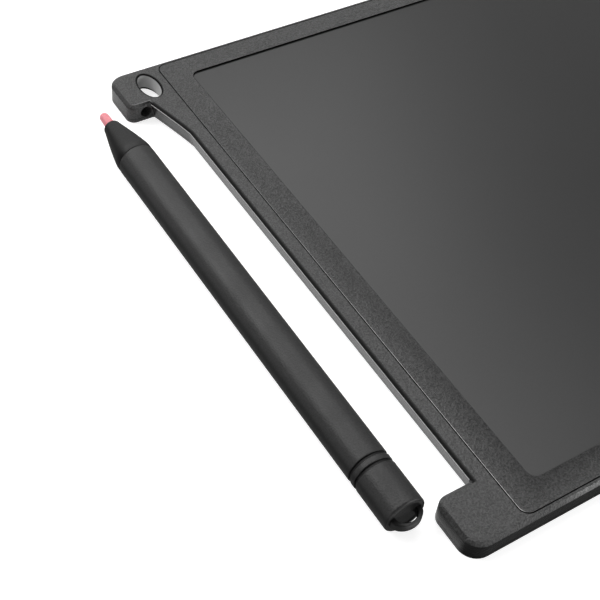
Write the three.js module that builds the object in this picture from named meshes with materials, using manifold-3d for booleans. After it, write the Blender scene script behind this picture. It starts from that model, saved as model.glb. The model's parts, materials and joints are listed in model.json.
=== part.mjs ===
// LCD writing tablet with a side slot for its stylus, and the stylus lying beside the slot.
// Millimetres. The origin is the centre of the tablet's base, +X runs along the tablet away
// from the slot and +Z points up out of the screen.

import * as THREE from "three";
import { mergeVertices } from "three/addons/utils/BufferGeometryUtils.js";
import Module from "manifold-3d";

const wasm = await Module();
wasm.setup();

// Tablet outside
const tabletLength = 225;
const tabletWidth = 146;
const tabletThickness = 4.8;
const outerCornerRadius = 4;
const edgeSlope = 0.8; // width and height of the sloped edge round the top
const edgeSoftening = 0.14; // extra narrow flats that soften both ends of the slope
const edgeSofteningDrop = 0.03;
const bottomEdgeBevel = 0.12;

// Stylus slot in the short side, between two lugs
const slotDepth = 8.6;
const lugWidth = 12.6; // from the tablet's long side to the slot
const slotLipSlope = 0.44; // the slot's own top edge is broken by a smaller slope
const slotRollOff = 0.56; // width of the faint fall of the top face beside the slot
const slotLean = 1.15; // how far the slot's wall leans back at its bottom edge
const slotTaperLength = 13.4; // stretch beside the upper lug that follows the stylus's nose
const slotTaperRise = 3.35;
const slotTaperPower = 1.12; // 1 is straight, and more bends it in gently
const slotCornerRadius = 0.4;
const upperLugRadius = 2;
const lowerLugRadius = 2.8;

// Shells
const backFloor = 1; // thickness of the back cover's plate
const coverWall = 1.3;
const cavityCornerRadius = 2.5;
const partingGap = 0.04;
const seatGap = 0.02; // between flat pieces that lie on each other
const slipGap = 0.15; // between a piece and the hole it drops into
const overrun = 1; // how far a cutting tool runs past the face it cuts

// Writing window and the layers behind it
const panelMargin = 1.4; // from the tablet's long sides to the bezel panel
const panelStart = 12.76; // from the slot-side end to the bezel panel
const endStripLength = 28.56; // plain strip from the bezel panel to the far end
const panelCornerRadius = 2.2;
const panelThickness = 0.3;
const windowMarginLong = 5.7; // bezel beside the window along the long sides
const windowMarginShort = 6.34;
const windowCornerRadius = 2;
const bezelTapeThickness = 0.06;
const lcdInset = 2.6; // from the bezel panel's edge to the display's edge
const lcdCornerRadius = 1;
const lcdFilmThickness = 0.2;
const lcdCrystalThickness = 0.08;
const lcdSealWidth = 1.6; // the crystal layer stops this far inside the films
const lcdClearance = 0.3;
const mountTapeThickness = 0.08;
const mountTapeWidth = 6;
const boardThickness = 1;
const boardOverlap = 1.8; // how far the support board reaches under the front cover's ledge

// Ribs, lip and locating pins
const ribWidth = 1;
const ribShares = [-0.44, -0.28, -0.12, 0.04, 0.2, 0.34]; // ribs that cross the tablet
const railShares = [-0.36, -0.18, 0, 0.18, 0.36]; // places of the lower ribs along the tablet
const railDrop = 0.4; // how much lower these are
const lipWidth = 0.8;
const lipHeight = 0.9;
const pinRadius = 1;
const pinSleeveWall = 0.9;
const pinSleeveHeight = 1.1;
const pinInset = 4.2; // from the cavity's wall, or the display's end, to a pin's axis

// Lanyard hole and nib hole in the upper lug
const lanyardHoleX = 8.05; // from the slot-side end
const lanyardHoleY = 6.9; // from the long side
const lanyardHalfWidth = 2.35;
const lanyardHalfLength = 4.3;
const lanyardLip = 0.34;
const lanyardBackStep = 0.45; // how much further the back cover's hole reaches
const nibHoleX = 4.25; // from the slot-side end
const nibHoleZ = 2.52;
const nibHoleRadius = 1.33;
const nibHoleMouthRadius = 1.42;
const nibHoleMouthDepth = 0.4;
const nibHoleDepth = 4.7;

// Erase button in the wide end strip
const buttonLength = 22;
const buttonWidth = 8.6;
const buttonProud = 0.35;
const buttonDome = 0.12; // height of the button's softened top edge
const buttonEdge = 0.45;
const buttonTravel = 0.25;
const buttonFlange = 1; // how far the flange spreads past the button
const buttonFlangeThickness = 0.4;
const buttonPostRadius = 1.5;
const buttonPostLength = 0.15;

// Circuit board and what it carries
const pcbThickness = 0.8;
const pcbCornerRadius = 1;
const pcbStandoff = 0.3;
const pcbHoleRadius = 1.1;
const pcbHoleInset = 2.6;
const standoffRadius = 2.2;
const boardScrewRadius = 0.9;
const boardScrewHeadRadius = 1.7;
const boardScrewHeadHeight = 0.6;
const boardBoreFloor = 0.6; // left under the screw's bore
const screwDriveWidth = 0.4; // width of one arm of the cross recess
const screwDriveReachShare = 0.62;
const screwDriveDepth = 0.3;
const switchSize = 4.6;
const switchCornerRadius = 0.5;
const plungerRadius = 1.2;
const plungerHeight = 0.5;
const chipLength = 4.9;
const chipWidth = 3.9;
const chipHeight = 0.9;
const chipLegReach = 0.95;
const chipLegWidth = 0.42;
const chipLegThickness = 0.2;
const chipLegCount = 4;
const inductorSize = 3;
const inductorHeight = 1.1;
const inductorCoreRadius = 1.1;
const inductorFlange = 0.28;
const partPitch = 4.6; // from one small component to the next
const partGap = 1.25; // between neighbours along the board
const capacitorLength = 2;
const capacitorWidth = 1.25;
const capacitorHeight = 0.8;
const resistorLength = 1.6;
const resistorWidth = 0.8;
const resistorHeight = 0.45;
const connectorLength = 15;
const connectorWidth = 3.4;
const connectorHeight = 1;
const connectorMouth = 2; // how far the ribbon tail goes in
const connectorInset = 0.4; // from the board's edge
const tailWidth = 12;
const tailThickness = 0.14;
const tailLap = 2.6; // overlap of the ribbon tail under the display
const tailNotchSlack = 1.5;

// Coin cell, its contacts and its door
const cellRadius = 10;
const cellHeight = 1.6;
const cellCapRadius = 8.6;
const cellCapHeight = 0.3;
const cellClearance = 0.3;
const cellRingWall = 0.8;
const cellRingHeight = 1.2;
const cellRingGapWidth = 7; // openings in the ring for the two contacts
const contactThickness = 0.2;
const contactWidth = 2;
const contactSpacing = 3.5; // between the middles of the two contacts
const contactPadLength = 2.6;
const contactRiserOffset = 1.6; // from the ring round the cell to the upper contact's bend
const contactReach = 5; // how far the upper contact runs over the cell
const doorRadius = 12.4;
const doorTabReach = 16.5; // from the cell's axis to the screw's axis
const doorTabRadius = 3;
const doorFlangeThickness = 0.6;
const doorCoinSlotLength = 9;
const doorCoinSlotWidth = 1.8;
const doorCoinSlotDepth = 0.3;
const doorScrewRadius = 0.8;
const doorScrewHeadRadius = 1.6;
const doorScrewHeadHeight = 0.3;
const doorScrewDriveDepth = 0.16;
const doorScrewHole = 0.95;
const doorBossRadius = 2.6;
const doorBossRoof = 0.4; // left over the end of the screw's hole

// Screen lock slider in the back
const lockTravel = 3;
const lockKnobLength = 5;
const lockKnobWidth = 4;
const lockKnobRecess = 0.12; // the knob stays this far inside the base
const lockRidgeCount = 3;
const lockRidgeWidth = 0.5;
const lockRidgeDepth = 0.3;
const lockFlange = 1; // how far the inner flange spreads past the knob's sides
const lockFlangeLap = 0.5; // its least overlap at the ends of the travel
const lockFlangeThickness = 0.5;
const lockOffset = 5; // from the circuit board's end to the knob's middle
const lockDishMargin = 2.2; // shallow finger dish round the knob's opening
const lockDishDepth = 0.35;
const lockForkWidth = 1;
const lockForkLength = 2;
const lockForkHeight = 1.2;
const lockLeverWidth = 1.2;
const lockLeverHeight = 0.6;
const lockLeverLength = 5.2;
const lockLeverInside = 1; // how far the lever reaches into its switch
const lockSwitchLength = 8;
const lockSwitchWidth = 2.8;
const lockSwitchHeight = 1.2;

// Stylus
const stylusRadius = 4.41;
const stylusClearX = 6.33; // from the tablet's end to the stylus's axis
const stylusSetBack = 3.06; // from the upper lug's inner side to the end of the nose
const stylusSlack = 0.3; // how much shorter than the slot the stylus is without its nib
const nibRadius = 1.24;
const nibTipRadius = 1.06;
const nibExposed = 4.3;
const nibInside = 6;
const nibRound = 0.6;
const noseLength = 12.9;
const noseTipRadius = 2.05;
const noseMouthRadius = 1.5;
const noseRound = 0.9;
const noseBaseRadius = 4.36;
const noseCollar = 1.58; // straight stretch between the barrel and the slope
const nosePower = 1.15; // 1 is a straight slope, and more bends it in gently
const noseSpigotLength = 5;
const barrelShoulder = 0.9; // length of the barrel's softened front edge
const barrelBoreRadius = 3.2;
const spigotGap = 0.04;
const grooveWidth = 0.68;
const grooveDepth = 0.4;
const ringLength = 1.2;
const capLength = 9.6;
const capRound = 0.9;
const capDish = 0.2; // hollow of the cap's end face
const capDishRadius = 3.2;
const capSpigotLength = 5;
const loopHalfWidth = 3.45;
const loopReach = 2.5;
const loopThickness = 2;
const eyeHalfWidth = 2.3;
const eyeReach = 1.85;

// Facets
const cornerSteps = 9;
const holeSteps = 32;
const lanyardSteps = 36;
const taperSteps = 9;
const smallSteps = 16;
const stylusSteps = 36;

// Heights of the layers, from the top down
const panelZ = tabletThickness - panelThickness;
const bezelTapeZ = panelZ - seatGap - bezelTapeThickness;
const ledgeZ = bezelTapeZ - seatGap; // the front cover's ledge is level with the display
const frontFilmZ = ledgeZ - lcdFilmThickness;
const crystalZ = frontFilmZ - seatGap - lcdCrystalThickness;
const backFilmZ = crystalZ - seatGap - lcdFilmThickness;
const mountTapeZ = backFilmZ - seatGap - mountTapeThickness;
const undersideZ = mountTapeZ; // inner face of the front cover's top plate
const boardTopZ = mountTapeZ - seatGap;
const boardBottomZ = boardTopZ - boardThickness;

// Places that several pieces share
const slotHalfLength = tabletWidth / 2 - lugWidth;
const slotWallX = -tabletLength / 2 + slotDepth;
const panelLeftX = -tabletLength / 2 + panelStart;
const panelLength = tabletLength - panelStart - endStripLength;
const panelWidth = tabletWidth - 2 * panelMargin;
const panelMidX = panelLeftX + panelLength / 2;
const windowLength = panelLength - 2 * windowMarginShort;
const windowWidth = panelWidth - 2 * windowMarginLong;
const lcdLength = panelLength - 2 * lcdInset;
const lcdWidth = panelWidth - 2 * lcdInset;
const lcdRightX = panelMidX + lcdLength / 2;
const chipOffset = buttonLength / 2 + buttonFlange + partGap + chipLength / 2;
const pcbLength = 2 * (chipOffset + chipLength / 2 + partGap + contactPadLength);
const pcbWidth = lockSwitchLength + 2 * (partGap + boardScrewHeadRadius + pcbHoleInset);
const pcbX = (tabletLength - endStripLength) / 2;
const cellY = (pcbLength + tabletWidth - 2 * coverWall) / 4; // midway from the board to the wall
const lockY = -pcbLength / 2 - lockOffset;
const plungerProud = buttonTravel + slipGap;
const pcbBottomZ = backFloor + pcbStandoff + seatGap;
const pcbTopZ = pcbBottomZ + pcbThickness;
const buttonFlangeTopZ = undersideZ - 2 * seatGap;
const buttonFlangeZ = buttonFlangeTopZ - buttonFlangeThickness;
const plungerTopZ = buttonFlangeZ - buttonPostLength - seatGap;
const switchHeight = plungerTopZ - plungerProud - pcbTopZ;
const boardScrewReach = pcbTopZ + seatGap - boardBoreFloor - slipGap;
const doorBossTopZ = boardBottomZ - slipGap;
const doorScrewHoleZ = doorBossTopZ - doorBossRoof;
const doorScrewReach = doorScrewHoleZ - slipGap - doorScrewHeadHeight;

// Materials, coloured as the pieces are
const plastic = (color, roughness) =>
  new THREE.MeshStandardMaterial({ color, roughness, metalness: 0 });
const metal = (color, roughness) =>
  new THREE.MeshStandardMaterial({ color, roughness, metalness: 1 });
const housingBlack = plastic(0x38393b, 0.6);
const bezelBlack = plastic(0x333436, 0.7);
const screenDark = plastic(0x2c2e30, 0.25);
const filmBlack = plastic(0x141516, 0.5);
const tapeBlack = plastic(0x1d1d1e, 0.9);
const boardGrey = plastic(0x6f7173, 0.8);
const pcbGreen = plastic(0x1f5a34, 0.5);
const chipBlack = plastic(0x1a1a1b, 0.6);
const ceramicTan = plastic(0xb08a5c, 0.6);
const tailAmber = plastic(0xb5762a, 0.4);
const connectorWhite = plastic(0xe4e1d6, 0.6);
const steel = metal(0xb9bcc0, 0.35);
const nickel = metal(0xc9c6be, 0.3);
const stylusBlack = plastic(0x2e2f31, 0.45);
const nibPink = plastic(0xf0909a, 0.45);

// A closed geometry as a solid for joining and cutting.
function solidOf(geometry) {
  const bare = geometry.clone();
  bare.deleteAttribute("normal");
  bare.deleteAttribute("uv");
  const merged = mergeVertices(bare);
  const vertProperties = merged.attributes.position.array;
  const triVerts = new Uint32Array(merged.index.array);
  return new wasm.Manifold(new wasm.Mesh({ numProp: 3, vertProperties, triVerts }));
}

function geometryOf(solid) {
  const mesh = solid.getMesh();
  const geometry = new THREE.BufferGeometry();
  geometry.setAttribute("position", new THREE.BufferAttribute(mesh.vertProperties, 3));
  geometry.setIndex(new THREE.BufferAttribute(mesh.triVerts, 1));
  geometry.computeVertexNormals();
  return geometry;
}

function pieceOf(name, geometry, material, position = [0, 0, 0]) {
  const mesh = new THREE.Mesh(geometry, material);
  mesh.name = name;
  mesh.position.set(...position);
  return mesh;
}

// Points of a circular arc round (x, y), angles in quarter turns.
function arc(x, y, radius, fromQuarter, toQuarter, steps = cornerSteps) {
  return Array.from({ length: steps + 1 }, (_, i) => {
    const angle = ((fromQuarter + ((toQuarter - fromQuarter) * i) / steps) * Math.PI) / 2;
    return new THREE.Vector2(x + radius * Math.cos(angle), y + radius * Math.sin(angle));
  });
}

function roundedRectangle(x, y, length, width, radius, steps = cornerSteps) {
  const dx = length / 2 - radius;
  const dy = width / 2 - radius;
  return [
    ...arc(x + dx, y + dy, radius, 0, 1, steps),
    ...arc(x - dx, y + dy, radius, 1, 2, steps),
    ...arc(x - dx, y - dy, radius, 2, 3, steps),
    ...arc(x + dx, y - dy, radius, 3, 4, steps),
  ];
}

function circle(x, y, radius, steps = holeSteps) {
  return arc(x, y, radius, 0, 4, steps).slice(0, steps);
}

function ellipse(x, y, halfLengthX, halfLengthY, steps) {
  return circle(0, 0, 1, steps).map(
    (p) => new THREE.Vector2(x + halfLengthX * p.x, y + halfLengthY * p.y),
  );
}

// An upright prism over a list of points, with optional holes, between two heights.
function prism(points, bottomZ, topZ, holes = []) {
  const shape = new THREE.Shape(points);
  shape.holes = holes.map((hole) => new THREE.Path(hole));
  const geometry = new THREE.ExtrudeGeometry(shape, { depth: topZ - bottomZ, bevelEnabled: false });
  return geometry.translate(0, 0, bottomZ);
}

function block(x, y, lengthX, lengthY, bottomZ, topZ) {
  const box = new THREE.BoxGeometry(lengthX, lengthY, topZ - bottomZ);
  return box.translate(x, y, (bottomZ + topZ) / 2);
}

// A closed skin through outlines of equal length, from the lowest up.
function loft(sections) {
  const count = sections[0].points.length;
  const positions = sections.flatMap(({ points, z }) => points.flatMap((p) => [p.x, p.y, z]));
  const indices = [];
  for (let level = 0; level + 1 < sections.length; level++) {
    for (let i = 0; i < count; i++) {
      const a = level * count + i;
      const b = level * count + ((i + 1) % count);
      indices.push(a, b, b + count, a, b + count, a + count);
    }
  }
  const top = (sections.length - 1) * count;
  for (const [a, b, c] of THREE.ShapeUtils.triangulateShape(sections.at(-1).points, [])) {
    indices.push(top + a, top + b, top + c);
  }
  for (const [a, b, c] of THREE.ShapeUtils.triangulateShape(sections[0].points, [])) {
    indices.push(a, c, b);
  }
  const geometry = new THREE.BufferGeometry();
  geometry.setAttribute("position", new THREE.Float32BufferAttribute(positions, 3));
  geometry.setIndex(indices);
  return geometry;
}

function join(geometries) {
  return geometries.map(solidOf).reduce((a, b) => a.add(b));
}

// A body of revolution about Y from [radius, y] pairs that close on the axis or on themselves.
function turned(profile, steps = stylusSteps) {
  return new THREE.LatheGeometry(profile.map(([r, y]) => new THREE.Vector2(r, y)), steps);
}

// The tablet seen from above. inset pulls every outer side inwards, and slotInset moves the
// slot's wall towards the screen.
function tabletOutline(inset, slotInset) {
  const left = -tabletLength / 2 + inset;
  const right = tabletLength / 2 - inset;
  const side = tabletWidth / 2 - inset;
  const radius = outerCornerRadius - inset;
  const upper = upperLugRadius - inset;
  const lower = lowerLugRadius - inset;
  const slotY = slotHalfLength + inset;
  const wallX = slotWallX + slotInset;
  const taperStartY = slotHalfLength - slotTaperLength;
  const wallXAt = (share) => wallX - slotTaperRise * share ** slotTaperPower;
  const endShare = (slotY - slotCornerRadius - taperStartY) / slotTaperLength;
  const taper = Array.from({ length: taperSteps + 1 }, (_, i) => {
    const share = endShare * (1 - i / taperSteps);
    return new THREE.Vector2(wallXAt(share), taperStartY + slotTaperLength * share);
  });
  const cornerX = wallXAt(endShare) - slotCornerRadius;
  return [
    ...arc(right - radius, side - radius, radius, 0, 1),
    ...arc(left + radius, side - radius, radius, 1, 2),
    ...arc(left + upper, slotY + upper, upper, 2, 3),
    ...arc(cornerX, slotY - slotCornerRadius, slotCornerRadius, 1, 0).slice(0, cornerSteps),
    ...taper,
    ...arc(wallX - slotCornerRadius, -slotY + slotCornerRadius, slotCornerRadius, 0, -1),
    ...arc(left + lower, -slotY - lower, lower, 1, 2),
    ...arc(left + radius, -side + radius, radius, 2, 3),
    ...arc(right - radius, -side + radius, radius, 3, 4),
  ];
}

// How far the slot's wall leans back at a height below its lip.
function slotLeanAt(z) {
  const lipZ = tabletThickness - slotLipSlope;
  return (slotLean * (lipZ - z)) / lipZ;
}

// The room inside the two covers, without the lugs, pulled in by inset.
function cavityOutline(inset) {
  const left = slotWallX + slotLean + coverWall + inset;
  const right = tabletLength / 2 - coverWall - inset;
  const width = tabletWidth - 2 * coverWall - 2 * inset;
  const radius = cavityCornerRadius - inset;
  return roundedRectangle((left + right) / 2, 0, right - left, width, radius);
}

// Centres of the locating pins in the corners of the end strip.
function pinPlaces() {
  const right = tabletLength / 2 - coverWall - pinInset;
  const left = panelLeftX + panelLength + pinInset;
  const side = tabletWidth / 2 - coverWall - pinInset;
  return [
    [right, side],
    [left, side],
    [left, -side],
    [right, -side],
  ];
}

// Cutter for the lanyard hole, widened by step, with its rounded mouths above and below.
function lanyardCutter(step) {
  const x = -tabletLength / 2 + lanyardHoleX;
  const y = tabletWidth / 2 - lanyardHoleY;
  const widening = [
    [-overrun, 1],
    [0, 1],
    [lanyardLip / 3, 1 / 3],
    [lanyardLip, 0],
    [tabletThickness - lanyardLip, 0],
    [tabletThickness - lanyardLip / 3, 1 / 3],
    [tabletThickness, 1],
    [tabletThickness + overrun, 1],
  ];
  return loft(widening.map(([z, share]) => {
    const extra = lanyardLip * share + step;
    const halfX = lanyardHalfWidth + extra;
    return { z, points: ellipse(x, y, halfX, lanyardHalfLength + extra, lanyardSteps) };
  }));
}

// Cutter for the blind hole that takes the nib when the stylus is stored.
function nibHoleCutter() {
  const profile = [
    [0, -overrun],
    [nibHoleMouthRadius, -overrun],
    [nibHoleMouthRadius, 0],
    [nibHoleRadius, nibHoleMouthDepth],
    [nibHoleRadius, nibHoleDepth],
    [0, nibHoleDepth],
  ];
  const x = -tabletLength / 2 + nibHoleX;
  return turned(profile, smallSteps).translate(x, slotHalfLength, nibHoleZ);
}

function frontCover() {
  const topZ = tabletThickness;
  const slopeEnd = edgeSlope + edgeSoftening;
  const bottomZ = backFloor + partingGap;
  const outside = [
    { z: bottomZ, inset: 0, slot: slotLeanAt(bottomZ) },
    { z: topZ - slopeEnd, inset: 0, slot: slotLeanAt(topZ - slopeEnd) },
    { z: topZ - edgeSlope, inset: edgeSofteningDrop, slot: slotLeanAt(topZ - edgeSlope) },
    { z: topZ - slotLipSlope, inset: edgeSlope - slotLipSlope, slot: 0 },
    { z: topZ - edgeSofteningDrop, inset: edgeSlope, slot: slotLipSlope },
    { z: topZ, inset: slopeEnd, slot: slotLipSlope + slotRollOff },
  ];
  const body = solidOf(
    loft(outside.map(({ z, inset, slot }) => ({ z, points: tabletOutline(inset, slot) }))),
  );
  const cavity = prism(cavityOutline(0), backFloor - overrun, undersideZ);
  const recess = roundedRectangle(
    panelMidX, 0, panelLength + 2 * slipGap, panelWidth + 2 * slipGap, panelCornerRadius + slipGap,
  );
  const opening = roundedRectangle(
    panelMidX, 0, lcdLength + 2 * lcdClearance, lcdWidth + 2 * lcdClearance, lcdCornerRadius,
  );
  const buttonHole = roundedRectangle(
    pcbX, 0, buttonWidth + 2 * slipGap, buttonLength + 2 * slipGap, buttonWidth / 2 + slipGap,
  );
  const pins = pinPlaces().map(([x, y]) =>
    prism(circle(x, y, pinRadius, smallSteps), backFloor + slipGap, undersideZ + seatGap));
  const hollow = body
    .subtract(solidOf(cavity))
    .subtract(solidOf(prism(recess, ledgeZ, topZ + overrun)))
    .subtract(solidOf(prism(opening, undersideZ - overrun, topZ + overrun)))
    .subtract(solidOf(prism(buttonHole, undersideZ - overrun, topZ + overrun)))
    .subtract(solidOf(lanyardCutter(0)))
    .subtract(solidOf(nibHoleCutter()));
  return geometryOf(pins.map(solidOf).reduce((a, b) => a.add(b), hollow));
}

// Outline of the battery door: the round lid with a tab for its screw.
function doorOutline(extra) {
  const tabRadius = doorTabRadius + extra;
  const lidRadius = doorRadius + extra;
  const neck = Math.asin(tabRadius / lidRadius) / (Math.PI / 2);
  return [
    ...arc(pcbX - doorTabReach, cellY, tabRadius, 1, 3),
    ...arc(pcbX, cellY, lidRadius, neck - 2, 2 - neck, holeSteps),
  ];
}

function backCover() {
  const topZ = backFloor;
  const plate = loft([
    { z: 0, points: tabletOutline(bottomEdgeBevel, slotLean + bottomEdgeBevel) },
    { z: bottomEdgeBevel, points: tabletOutline(0, slotLeanAt(bottomEdgeBevel)) },
    { z: topZ, points: tabletOutline(0, slotLeanAt(topZ)) },
  ]);
  const lip = prism(cavityOutline(slipGap), topZ - seatGap, topZ + lipHeight, [
    cavityOutline(slipGap + lipWidth),
  ]);
  const ribTopZ = boardBottomZ - seatGap;
  const ribLength = lcdWidth;
  const ribs = ribShares.map((share) =>
    block(panelMidX + share * panelLength, 0, ribWidth, ribLength, topZ - seatGap, ribTopZ));
  const railLength = (ribShares.at(-1) - ribShares[0]) * panelLength;
  const railX = panelMidX + ((ribShares.at(-1) + ribShares[0]) / 2) * panelLength;
  const rails = railShares.map((share) =>
    block(railX, share * panelWidth, railLength, ribWidth, topZ - seatGap, ribTopZ - railDrop));
  const sleeves = pinPlaces().map(([x, y]) =>
    prism(
      circle(x, y, pinRadius + slipGap + pinSleeveWall, smallSteps),
      topZ - seatGap, topZ + pinSleeveHeight,
      [circle(x, y, pinRadius + slipGap, smallSteps)],
    ));
  const standoffs = screwPlaces().map(([x, y]) =>
    prism(circle(x, y, standoffRadius, smallSteps), topZ - seatGap, topZ + pcbStandoff));
  const ring = prism(
    circle(pcbX, cellY, cellRadius + cellClearance + cellRingWall), topZ - seatGap,
    topZ + cellRingHeight, [circle(pcbX, cellY, cellRadius + cellClearance)],
  );
  const boss = prism(
    circle(pcbX - doorTabReach, cellY, doorBossRadius, smallSteps),
    doorFlangeThickness + seatGap, doorBossTopZ,
  );
  const raised = join([plate, lip, ...ribs, ...rails, ...sleeves, ...standoffs, ring, boss]);

  const contactGap = block(
    pcbX, cellY - cellRadius, cellRingGapWidth, cellRadius, topZ, topZ + cellRingHeight + overrun,
  );
  const well = prism(
    circle(pcbX, cellY, cellRadius + cellClearance), -overrun, topZ + cellRingHeight + overrun,
  );
  const doorSeat = prism(doorOutline(slipGap), -overrun, doorFlangeThickness + seatGap);
  const screwHole = prism(
    circle(pcbX - doorTabReach, cellY, doorScrewHole, smallSteps), -overrun, doorScrewHoleZ,
  );
  const lockSlot = roundedRectangle(
    pcbX, lockY, lockKnobLength + lockTravel + 2 * slipGap, lockKnobWidth + 2 * slipGap, slipGap,
    smallSteps / 4,
  );
  const dishLength = lockKnobLength + lockTravel + 2 * lockDishMargin;
  const dishWidth = lockKnobWidth + lockDishMargin;
  const dish = loft([
    { z: -overrun, points: roundedRectangle(pcbX, lockY, dishLength, dishWidth, dishWidth / 2) },
    { z: 0, points: roundedRectangle(pcbX, lockY, dishLength, dishWidth, dishWidth / 2) },
    {
      z: lockDishDepth,
      points: roundedRectangle(
        pcbX, lockY, dishLength - 2 * lockDishDepth, dishWidth - 2 * lockDishDepth,
        dishWidth / 2 - lockDishDepth,
      ),
    },
  ]);
  const screwBores = screwPlaces().map(([x, y]) =>
    prism(circle(x, y, boardScrewRadius, smallSteps), boardBoreFloor, topZ + overrun));
  return geometryOf(
    raised
      .subtract(solidOf(contactGap))
      .subtract(solidOf(well))
      .subtract(solidOf(doorSeat))
      .subtract(solidOf(screwHole))
      .subtract(solidOf(prism(lockSlot, -overrun, topZ + overrun)))
      .subtract(solidOf(dish))
      .subtract(join(screwBores))
      .subtract(solidOf(lanyardCutter(lanyardBackStep))),
  );
}

// Centres of the two screws that hold the circuit board.
function screwPlaces() {
  const x = pcbX + pcbWidth / 2 - pcbHoleInset;
  const y = pcbLength / 2 - pcbHoleInset;
  return [
    [x, y],
    [x, -y],
  ];
}

// A pan-head screw standing on its tip, its head's underside at z = 0, with a cross recess.
function screw(shankRadius, reach, headRadius, headHeight, driveDepth) {
  const shank = prism(circle(0, 0, shankRadius, smallSteps), -reach, seatGap);
  const head = loft([
    { z: 0, points: circle(0, 0, headRadius, smallSteps) },
    { z: headHeight / 2, points: circle(0, 0, headRadius, smallSteps) },
    { z: headHeight, points: circle(0, 0, headRadius - headHeight / 2, smallSteps) },
  ]);
  const armLength = 2 * headRadius * screwDriveReachShare;
  const arms = [
    block(0, 0, armLength, screwDriveWidth, headHeight - driveDepth, headHeight + overrun),
    block(0, 0, screwDriveWidth, armLength, headHeight - driveDepth, headHeight + overrun),
  ];
  return geometryOf(join([shank, head]).subtract(join(arms)));
}

function screenLayers() {
  const group = new THREE.Group();
  group.position.set(panelMidX, 0, 0);
  const window = roundedRectangle(0, 0, windowLength, windowWidth, windowCornerRadius);
  const panel = prism(
    roundedRectangle(0, 0, panelLength, panelWidth, panelCornerRadius), 0, panelThickness, [window],
  );
  const bezelTape = prism(
    roundedRectangle(0, 0, panelLength - lcdInset, panelWidth - lcdInset, panelCornerRadius),
    0, bezelTapeThickness,
    [roundedRectangle(0, 0, windowLength + lcdInset, windowWidth + lcdInset, windowCornerRadius)],
  );
  const sheet = (spread, thickness) => prism(
    roundedRectangle(0, 0, lcdLength + 2 * spread, lcdWidth + 2 * spread, lcdCornerRadius),
    0, thickness,
  );
  const film = sheet(0, lcdFilmThickness);
  const crystal = sheet(-lcdSealWidth, lcdCrystalThickness);
  const mountTapeSheet = prism(
    roundedRectangle(0, 0, lcdLength, lcdWidth, lcdCornerRadius), 0, mountTapeThickness,
    [roundedRectangle(
      0, 0, lcdLength - 2 * mountTapeWidth, lcdWidth - 2 * mountTapeWidth, lcdCornerRadius,
    )],
  );

  // The support board and the tape leave room for the ribbon tail.
  const notchDepth = tailLap + tailNotchSlack + boardOverlap;
  const notch = solidOf(block(
    lcdLength / 2 + boardOverlap - notchDepth / 2 + overrun / 2, 0, notchDepth + overrun,
    tailWidth + 2 * tailNotchSlack, -overrun, boardThickness + overrun,
  ));
  const board = solidOf(sheet(boardOverlap, boardThickness)).subtract(notch);
  const mountTape = solidOf(mountTapeSheet).subtract(notch);
  group.add(
    pieceOf("bezel_panel", panel, bezelBlack, [0, 0, panelZ]),
    pieceOf("bezel_tape", bezelTape, tapeBlack, [0, 0, bezelTapeZ]),
    pieceOf("lcd_front_film", film, screenDark, [0, 0, frontFilmZ]),
    pieceOf("lcd_crystal_layer", crystal, screenDark, [0, 0, crystalZ]),
    pieceOf("lcd_back_film", film, filmBlack, [0, 0, backFilmZ]),
    pieceOf("lcd_mounting_tape", geometryOf(mountTape), tapeBlack, [0, 0, mountTapeZ]),
    pieceOf("support_board", geometryOf(board), boardGrey, [0, 0, boardBottomZ]),
  );
  return group;
}

// Ribbon tail from under the display down to the connector, as a bent strip of even thickness.
function lcdTail() {
  const startZ = backFilmZ - seatGap;
  const endZ = pcbTopZ + connectorHeight / 2;
  const edgeX = lcdRightX;
  const mouthX = pcbX - pcbWidth / 2 + connectorInset;
  const path = new THREE.CubicBezierCurve(
    new THREE.Vector2(edgeX - tailLap, startZ),
    new THREE.Vector2(edgeX + tailLap, startZ),
    new THREE.Vector2(edgeX, endZ),
    new THREE.Vector2(mouthX, endZ),
  );
  const upper = path.getPoints(smallSteps);
  const lower = upper.map((p, i) => {
    const tangent = path.getTangent(i / smallSteps);
    return new THREE.Vector2(p.x + tangent.y * tailThickness, p.y - tangent.x * tailThickness);
  });
  const inserted = [endZ - tailThickness, endZ].map(
    (z) => new THREE.Vector2(mouthX + connectorMouth, z),
  );
  const strip = new THREE.Shape([...lower, ...inserted, ...upper.reverse()]);
  const ribbon = new THREE.ExtrudeGeometry(strip, { depth: tailWidth, bevelEnabled: false });
  return ribbon.translate(0, 0, -tailWidth / 2).rotateX(Math.PI / 2);
}

// Four small components stand on the board, out of the button's way.
function smallComponents() {
  const pitch = chipLength / chipLegCount;
  const legs = Array.from({ length: chipLegCount }, (_, i) =>
    block(
      0, (i - (chipLegCount - 1) / 2) * pitch, chipWidth + 2 * chipLegReach, chipLegWidth,
      seatGap, seatGap + chipLegThickness,
    ));
  const chipBody = block(0, 0, chipWidth, chipLength, seatGap, chipHeight);
  const inductor = join([
    prism(circle(0, 0, inductorSize / 2, smallSteps), seatGap, inductorFlange),
    prism(circle(0, 0, inductorCoreRadius, smallSteps), seatGap, inductorHeight),
    prism(
      circle(0, 0, inductorSize / 2, smallSteps), inductorHeight - inductorFlange, inductorHeight,
    ),
  ]);
  const capacitor = block(0, 0, capacitorWidth, capacitorLength, seatGap, capacitorHeight);
  const resistor = block(0, 0, resistorWidth, resistorLength, seatGap, resistorHeight);
  return [
    pieceOf("driver_chip", geometryOf(join([chipBody, ...legs])), chipBlack, [0, chipOffset, 0]),
    pieceOf("boost_inductor", geometryOf(inductor), chipBlack, [-partPitch, -chipOffset, 0]),
    pieceOf("boost_capacitor", capacitor, ceramicTan, [0, -chipOffset, 0]),
    pieceOf("bias_resistor", resistor, chipBlack, [partPitch, -chipOffset, 0]),
  ];
}

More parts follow.
